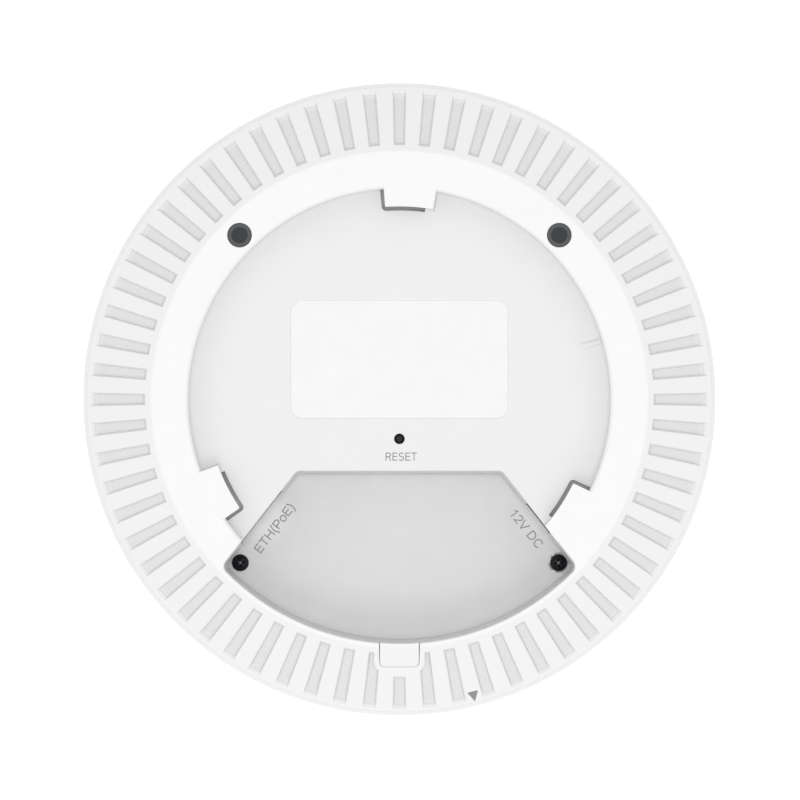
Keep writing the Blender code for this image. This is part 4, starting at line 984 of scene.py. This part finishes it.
# --------------------------------------------------------------------- sockets
_zb = BOARD_TOP_Z + GAP
_f = PORT_SET_BACK
shell = box("network_socket_shell", _f, _f + ETH_L, -ETH_W / 2, ETH_W / 2, _zb, _zb + ETH_H)
cut(shell, box("inside", _f - 1, _f + ETH_L - 0.4, -ETH_W / 2 + 0.4, ETH_W / 2 - 0.4, _zb + 0.4, _zb + ETH_H - 0.4))
for s in (-1, 1):
    cut(shell, box("spring", _f + 4.0, _f + 9.0, s * ETH_W / 2 - 1.0, s * ETH_W / 2 + 1.0, _zb + 3.0, _zb + 3.5))
    cut(shell, box("spring", _f + 4.0, _f + 9.0, s * ETH_W / 2 - 1.0, s * ETH_W / 2 + 1.0, _zb + 6.0, _zb + 6.5))
soft_edges(shell, 0.08, 2, 40.0)
smooth(moved(shell, ETH_X, ETH_Y, degrees=PORT_ANGLE), 35.0)
dress(shell, SHELL, stands_for=["ethernet_jack_shell"])

_iz0, _iz1, _iw = _zb + 0.6, _zb + ETH_H - 0.6, ETH_W / 2 - 0.7
CAV0, CAV1 = _iz0 + 0.7, _iz0 + 7.5
insert = box("network_socket_insert", _f, _f + ETH_L - 0.8, -_iw, _iw, _iz0, _iz1)
cut(insert, box("cavity", _f - 1, _f + 15.0, -5.95, 5.95, CAV0, CAV1))
cut(insert, box("latch_wide", _f - 1, _f + 9.0, -3.1, 3.1, CAV1 - 0.5, CAV1 + 1.1))
cut(insert, box("latch_narrow", _f - 1, _f + 9.0, -1.7, 1.7, CAV1 + 0.5, CAV1 + 1.8))
soft_edges(insert, 0.12, 2, 40.0)
smooth(moved(insert, ETH_X, ETH_Y, degrees=PORT_ANGLE), 35.0)
dress(insert, BLACK_NYLON, stands_for=["ethernet_jack_insert"])

comb = box("network_socket_contacts", _f + 13.9, _f + 14.7, -4.6, 4.6, CAV0 + 0.3, CAV0 + 4.4)
for k in range(8):
    y = -3.57 + 1.02 * k
    section = [(_f + 14.2, CAV0 + 3.9), (_f + 7.0, CAV0 + 0.55), (_f + 6.3, CAV0 + 0.35), (_f + 5.8, CAV0 + 0.45), (_f + 5.9, CAV0 + 0.75), (_f + 6.3, CAV0 + 0.65), (_f + 6.9, CAV0 + 0.85), (_f + 14.2, CAV0 + 4.2)]
    finger = extruded("finger", section, -y - 0.22, -y + 0.22)
    finger.data.transform(Matrix.Rotation(-math.pi / 2, 4, "Z"))
    join(comb, finger)
smooth(moved(comb, ETH_X, ETH_Y, degrees=PORT_ANGLE), 35.0)
dress(comb, GOLD, stands_for=["ethernet_jack_contacts"])

dc = box("power_socket_body", _f, _f + DC_L, -DC_W / 2, DC_W / 2, _zb, _zb + DC_H)
hole_z = _zb + 6.2
hole = prism("hole", circle(0, 0, 6.4, 48), 0.0, 11.5)
hole.data.transform(Matrix.Translation(Vector((_f - 1.5, 0, hole_z)) * MM) @ Matrix.Rotation(math.pi / 2, 4, "Y"))
cut(dc, hole)
soft_edges(dc, 0.25, 3, 40.0)
smooth(moved(dc, DC_X, DC_Y, degrees=PORT_ANGLE_RIGHT), 35.0)
dress(dc, BLACK_NYLON, stands_for=["dc_jack_body"])
pin = spin("power_socket_pin", fillet([(0.0, 9.2, 0, 0), (1.05, 9.2, 0.4, 5), (1.05, 1.2, 0.1, 2), (1.9, 1.2, 0.2, 3), (1.9, 0.0, 0, 0), (0.0, 0.0, 0, 0)]), 40)
pin.data.transform(Matrix.Translation(Vector((_f + 9.7, 0, hole_z)) * MM) @ Matrix.Rotation(-math.pi / 2, 4, "Y"))
smooth(moved(pin, DC_X, DC_Y, degrees=PORT_ANGLE_RIGHT), 35.0)
dress(pin, GOLD, stands_for=["dc_jack_pin"])

# ------------------------------------------------------------------ light pipe
pipe = spin(
    "status_lens",
    fillet(
        [
            (0.0, -22.7, 0, 0),
            (1.4, -22.7, 0.1, 2),
            (1.4, -26.5, 0.1, 2),
            (2.4, -26.5, 0.15, 2),
            (2.4, -27.6, 0.15, 2),
            (1.5, -27.6, 0.1, 2),
            (1.5, -31.55, 0.35, 5),
            (0.0, -31.62, 0, 0),
        ]
    ),
    48,
    (0.0, LED_Y),
)
smooth(pipe, 40.0)
dress(pipe, LENS, stands_for=["light_pipe"])


# ----------------------------------------------------------------------- words
def bow(cx, cy, rx, ry, a0, a1, steps=14):
    return [(cx + rx * math.cos(math.radians(a0 + (a1 - a0) * k / steps)), cy + ry * math.sin(math.radians(a0 + (a1 - a0) * k / steps))) for k in range(steps + 1)]


def glyph(c):
    """Advance and centre-line strokes of one plain letter, in cap heights."""
    if c == "E":
        return 0.91, [[(0.79, 0.94), (0.16, 0.94), (0.16, 0.06), (0.80, 0.06)], [(0.16, 0.52), (0.75, 0.52)]]
    if c == "T":
        return 0.85, [[(0.04, 0.94), (0.81, 0.94)], [(0.425, 0.94), (0.425, 0.0)]]
    if c == "H":
        return 1.01, [[(0.17, 0.0), (0.17, 1.0)], [(0.84, 0.0), (0.84, 1.0)], [(0.17, 0.53), (0.84, 0.53)]]
    if c == "(":
        return 0.45, [[(0.15 + 0.23 * t * t, 0.38 + 0.66 * t) for t in (1 - k / 7 for k in range(15))]]
    if c == ")":
        return 0.45, [[(0.30 - 0.23 * t * t, 0.38 + 0.66 * t) for t in (1 - k / 7 for k in range(15))]]
    if c == "P":
        return 0.91, [[(0.16, 0.0), (0.16, 0.94), (0.52, 0.94)] + bow(0.54, 0.69, 0.26, 0.25, 80, -80) + [(0.52, 0.44), (0.16, 0.44)]]
    if c == "o":
        return 0.78, [bow(0.39, 0.37, 0.29, 0.335, 0, 360, 28)]
    if c == "1":
        return 0.78, [[(0.18, 0.74), (0.36, 0.84), (0.47, 0.98), (0.47, 0.0)]]
    if c == "2":
        return 0.78, [bow(0.39, 0.70, 0.27, 0.25, 165, -28) + [(0.13, 0.06), (0.70, 0.06)]]
    if c == "V":
        return 0.93, [[(0.06, 1.0), (0.465, 0.04), (0.87, 1.0)]]
    if c == "D":
        return 1.01, [[(0.17, 0.06), (0.17, 0.94), (0.44, 0.94)] + bow(0.46, 0.50, 0.40, 0.44, 85, -85) + [(0.44, 0.06), (0.17, 0.06)]]
    if c == "C":
        return 1.01, [bow(0.53, 0.50, 0.40, 0.45, 38, 322, 24)]
    if c == "R":
        return 1.00, [[(0.17, 0.0), (0.17, 0.94), (0.54, 0.94)] + bow(0.57, 0.71, 0.25, 0.23, 80, -80) + [(0.54, 0.48), (0.17, 0.48)], [(0.55, 0.48), (0.86, 0.0)]]
    if c == "S":
        return 0.93, [bow(0.46, 0.72, 0.29, 0.23, 25, 262, 12) + bow(0.46, 0.28, 0.32, 0.24, 80, -155, 12)]
    return 0.39, []


def words(name, text, centre, width, cap, stroke, degrees, z, look):
    """Generic printed lettering: every stroke is a thin slab of ink."""
    strokes, x = [], 0.0
    for c in text:
        advance, lines = glyph(c)
        strokes += [[(x + a, b) for a, b in line] for line in lines]
        x += advance
    xs = [a for line in strokes for a, b in line]
    x0, x1 = min(xs), max(xs)
    k = (width - stroke) / (x1 - x0)
    bm = bmesh.new()
    for n, line in enumerate(strokes):
        line = [Vector(((a - (x0 + x1) / 2) * k, (b - 0.5) * cap)) for a, b in line]
        ring = (line[0] - line[-1]).length < 1e-6
        if ring:
            line = line[:-1]
        m = len(line)
        left, right = [], []
        for j, p in enumerate(line):
            before = (p - line[j - 1]).normalized() if (j or ring) else None
            after = (line[(j + 1) % m] - p).normalized() if (j < m - 1 or ring) else None
            d0, d1 = before or after, after or before
            n0, n1 = Vector((-d0.y, d0.x)), Vector((-d1.y, d1.x))
            miter = (n0 + n1).normalized()
            reach = stroke / 2 / max(0.45, miter.dot(n0))
            left.append(p + miter * reach)
            right.append(p - miter * reach)
        top, low = 0.020 + 0.0008 * n, 0.002
        rails = [[bm.verts.new(Vector((q.x, q.y, h)) * MM) for q in side] for side, h in ((left, top), (right, top), (right, low), (left, low))]
        count = m if ring else m - 1
        for j in range(count):
            jj = (j + 1) % m
            for r0, r1 in zip(rails, rails[1:] + rails[:1]):
                bm.faces.new((r0[j], r0[jj], r1[jj], r1[j]))
        if not ring:
            bm.faces.new([r[0] for r in rails])
            bm.faces.new([r[-1] for r in reversed(rails)])
    bmesh.ops.recalc_face_normals(bm, faces=bm.faces)
    obj = new_object(name)
    bm.to_mesh(obj.data)
    bm.free()
    moved(obj, centre[0], centre[1], z, degrees)
    return dress(obj, look)


def px(x, y):
    return ((x - 399.41) * 0.2543, (399.35 - y) * 0.2543)


words("word_reset", "RESET", (0.5, -14.5), 8.0, 2.05, 0.235, 0.0, -RECESS_DEPTH, INK)
words("word_eth", "ETH(PoE)", px(274.5, 528.0), 14.6, 2.30, 0.31, 53.0, BAY_FLOOR_Z, TRAY_INK)
words("word_dc", "12V DC", px(526.45, 528.8), 11.45, 2.32, 0.31, -51.3, BAY_FLOOR_Z, TRAY_INK)

# arrow mark printed on the slope
_a = math.radians(284.06)
_er, _et = Vector((math.cos(_a), math.sin(_a))), Vector((-math.sin(_a), math.cos(_a)))
bm = bmesh.new()
tri = [(76.3, -1.4), (76.3, 1.4), (78.9, 0.0)]
rows, grid = 12, []
for j in range(rows + 1):
    f = j / rows
    r = tri[0][0] + (tri[2][0] - tri[0][0]) * f
    w = 1.4 * (1 - f)
    line = []
    for s in ((-1, -0.5, 0, 0.5, 1) if w > 1e-6 else (0,)):
        p = _er * r + _et * (w * s)
        rad = p.length
        edge = EDGE_R - 0.25
        z = slope_z(rad)
        line.append(bm.verts.new(Vector((p.x, p.y, z + 0.02)) * MM))
    grid.append(line)
for j in range(rows):
    a, b = grid[j], grid[j + 1]
    if len(b) == 1:
        for q in range(4):
            bm.faces.new((a[q], a[q + 1], b[0]))
    else:
        for q in range(4):
            bm.faces.new((a[q], a[q + 1], b[q + 1], b[q]))
made = bmesh.ops.extrude_face_region(bm, geom=bm.faces[:])
for v in [g for g in made["geom"] if isinstance(g, bmesh.types.BMVert)]:
    v.co.z -= 0.015 * MM
bmesh.ops.recalc_face_normals(bm, faces=bm.faces)
arrow = new_object("arrow_mark")
bm.to_mesh(arrow.data)
bm.free()
dress(arrow, INK)

# ------------------------------------------------------ carried-over CAD nodes
LOOKS = {
    "main_board": BOARD,
    "heat_sink": CAST,
    "soc_thermal_pad": PAD,
    "poe_transformer": FERRITE,
    "power_inductor": FERRITE,
    "capacitor_1": SLEEVE,
    "capacitor_2": SLEEVE,
    "shield_can_2g": SHELL,
    "shield_can_5g": SHELL,
    "status_led": LED_LOOK,
}
for name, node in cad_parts.items():
    if name.startswith("antenna"):
        look = TIN
    elif name.startswith(("board_screw", "sink_screw")):
        look = ZINC
    else:
        look = LOOKS.get(name, CHIP)
    for s in node.material_slots:
        s.material = look

# ----------------------------------------------------------- floor and lighting
lo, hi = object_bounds()
floor_z = lo.z - 0.00005
bm = bmesh.new()
for x, y in ((-3, -3), (3, -3), (3, 3), (-3, 3)):
    bm.verts.new((x, y, floor_z))
bm.faces.new(bm.verts)
floor = new_object("floor")
bm.to_mesh(floor.data)
bm.free()
floor_look = bpy.data.materials.new("pale_floor")
floor_look.use_nodes = True
fs = floor_look.node_tree.nodes["Principled BSDF"]
fs.inputs["Base Color"].default_value = (0.60, 0.60, 0.60, 1)
fs.inputs["Roughness"].default_value = 0.9
fs.inputs["Specular IOR Level"].default_value = 0.0
fs.inputs["Emission Color"].default_value = (1, 1, 1, 1)
fs.inputs["Emission Strength"].default_value = 0.62
floor.data.materials.append(floor_look)

world = bpy.data.worlds.new("studio")
bpy.context.scene.world = world
world.use_nodes = True
world.node_tree.nodes["Background"].inputs["Color"].default_value = (1, 1, 1, 1)
world.node_tree.nodes["Background"].inputs["Strength"].default_value = 0.88


def softbox(name, location, size, watts, aim=(0, 0, 0)):
    light = bpy.data.lights.new(name, "AREA")
    light.shape, light.size, light.energy = "DISK", size, watts
    obj = bpy.data.objects.new(name, light)
    bpy.context.scene.collection.objects.link(obj)
    obj.location = location
    obj.rotation_mode = "QUATERNION"
    obj.rotation_quaternion = (Vector(aim) - Vector(location)).to_track_quat("-Z", "Y")
    return obj


softbox("overhead", (0.0, 0.0, 1.9), 0.7, 14.9)
softbox("front", (0.0, -1.0, 1.6), 0.8, 5.2)

# ---------------------------------------------------------------------- camera
camera = bpy.data.cameras.new("camera")
eye = bpy.data.objects.new("camera", camera)
bpy.context.scene.collection.objects.link(eye)
DISTANCE = 3.6
FRAME_WIDTH = 0.2024
camera.sensor_width = 36.0
camera.lens = 36.0 * DISTANCE / FRAME_WIDTH
camera.clip_start, camera.clip_end = 0.05, 50.0
camera.shift_x = 0.6 / 800
camera.shift_y = -0.65 / 800
eye.location = (0.0, 0.0, DISTANCE)
eye.rotation_euler = (0.0, 0.0, 0.0)
camera.dof.use_dof = False
bpy.context.scene.camera = eye
bpy.context.scene.view_settings.view_transform = "Standard"
bpy.context.scene.view_settings.look = "None"
bpy.context.scene.view_settings.exposure = 0.0
bpy.context.scene.view_settings.gamma = 1.0
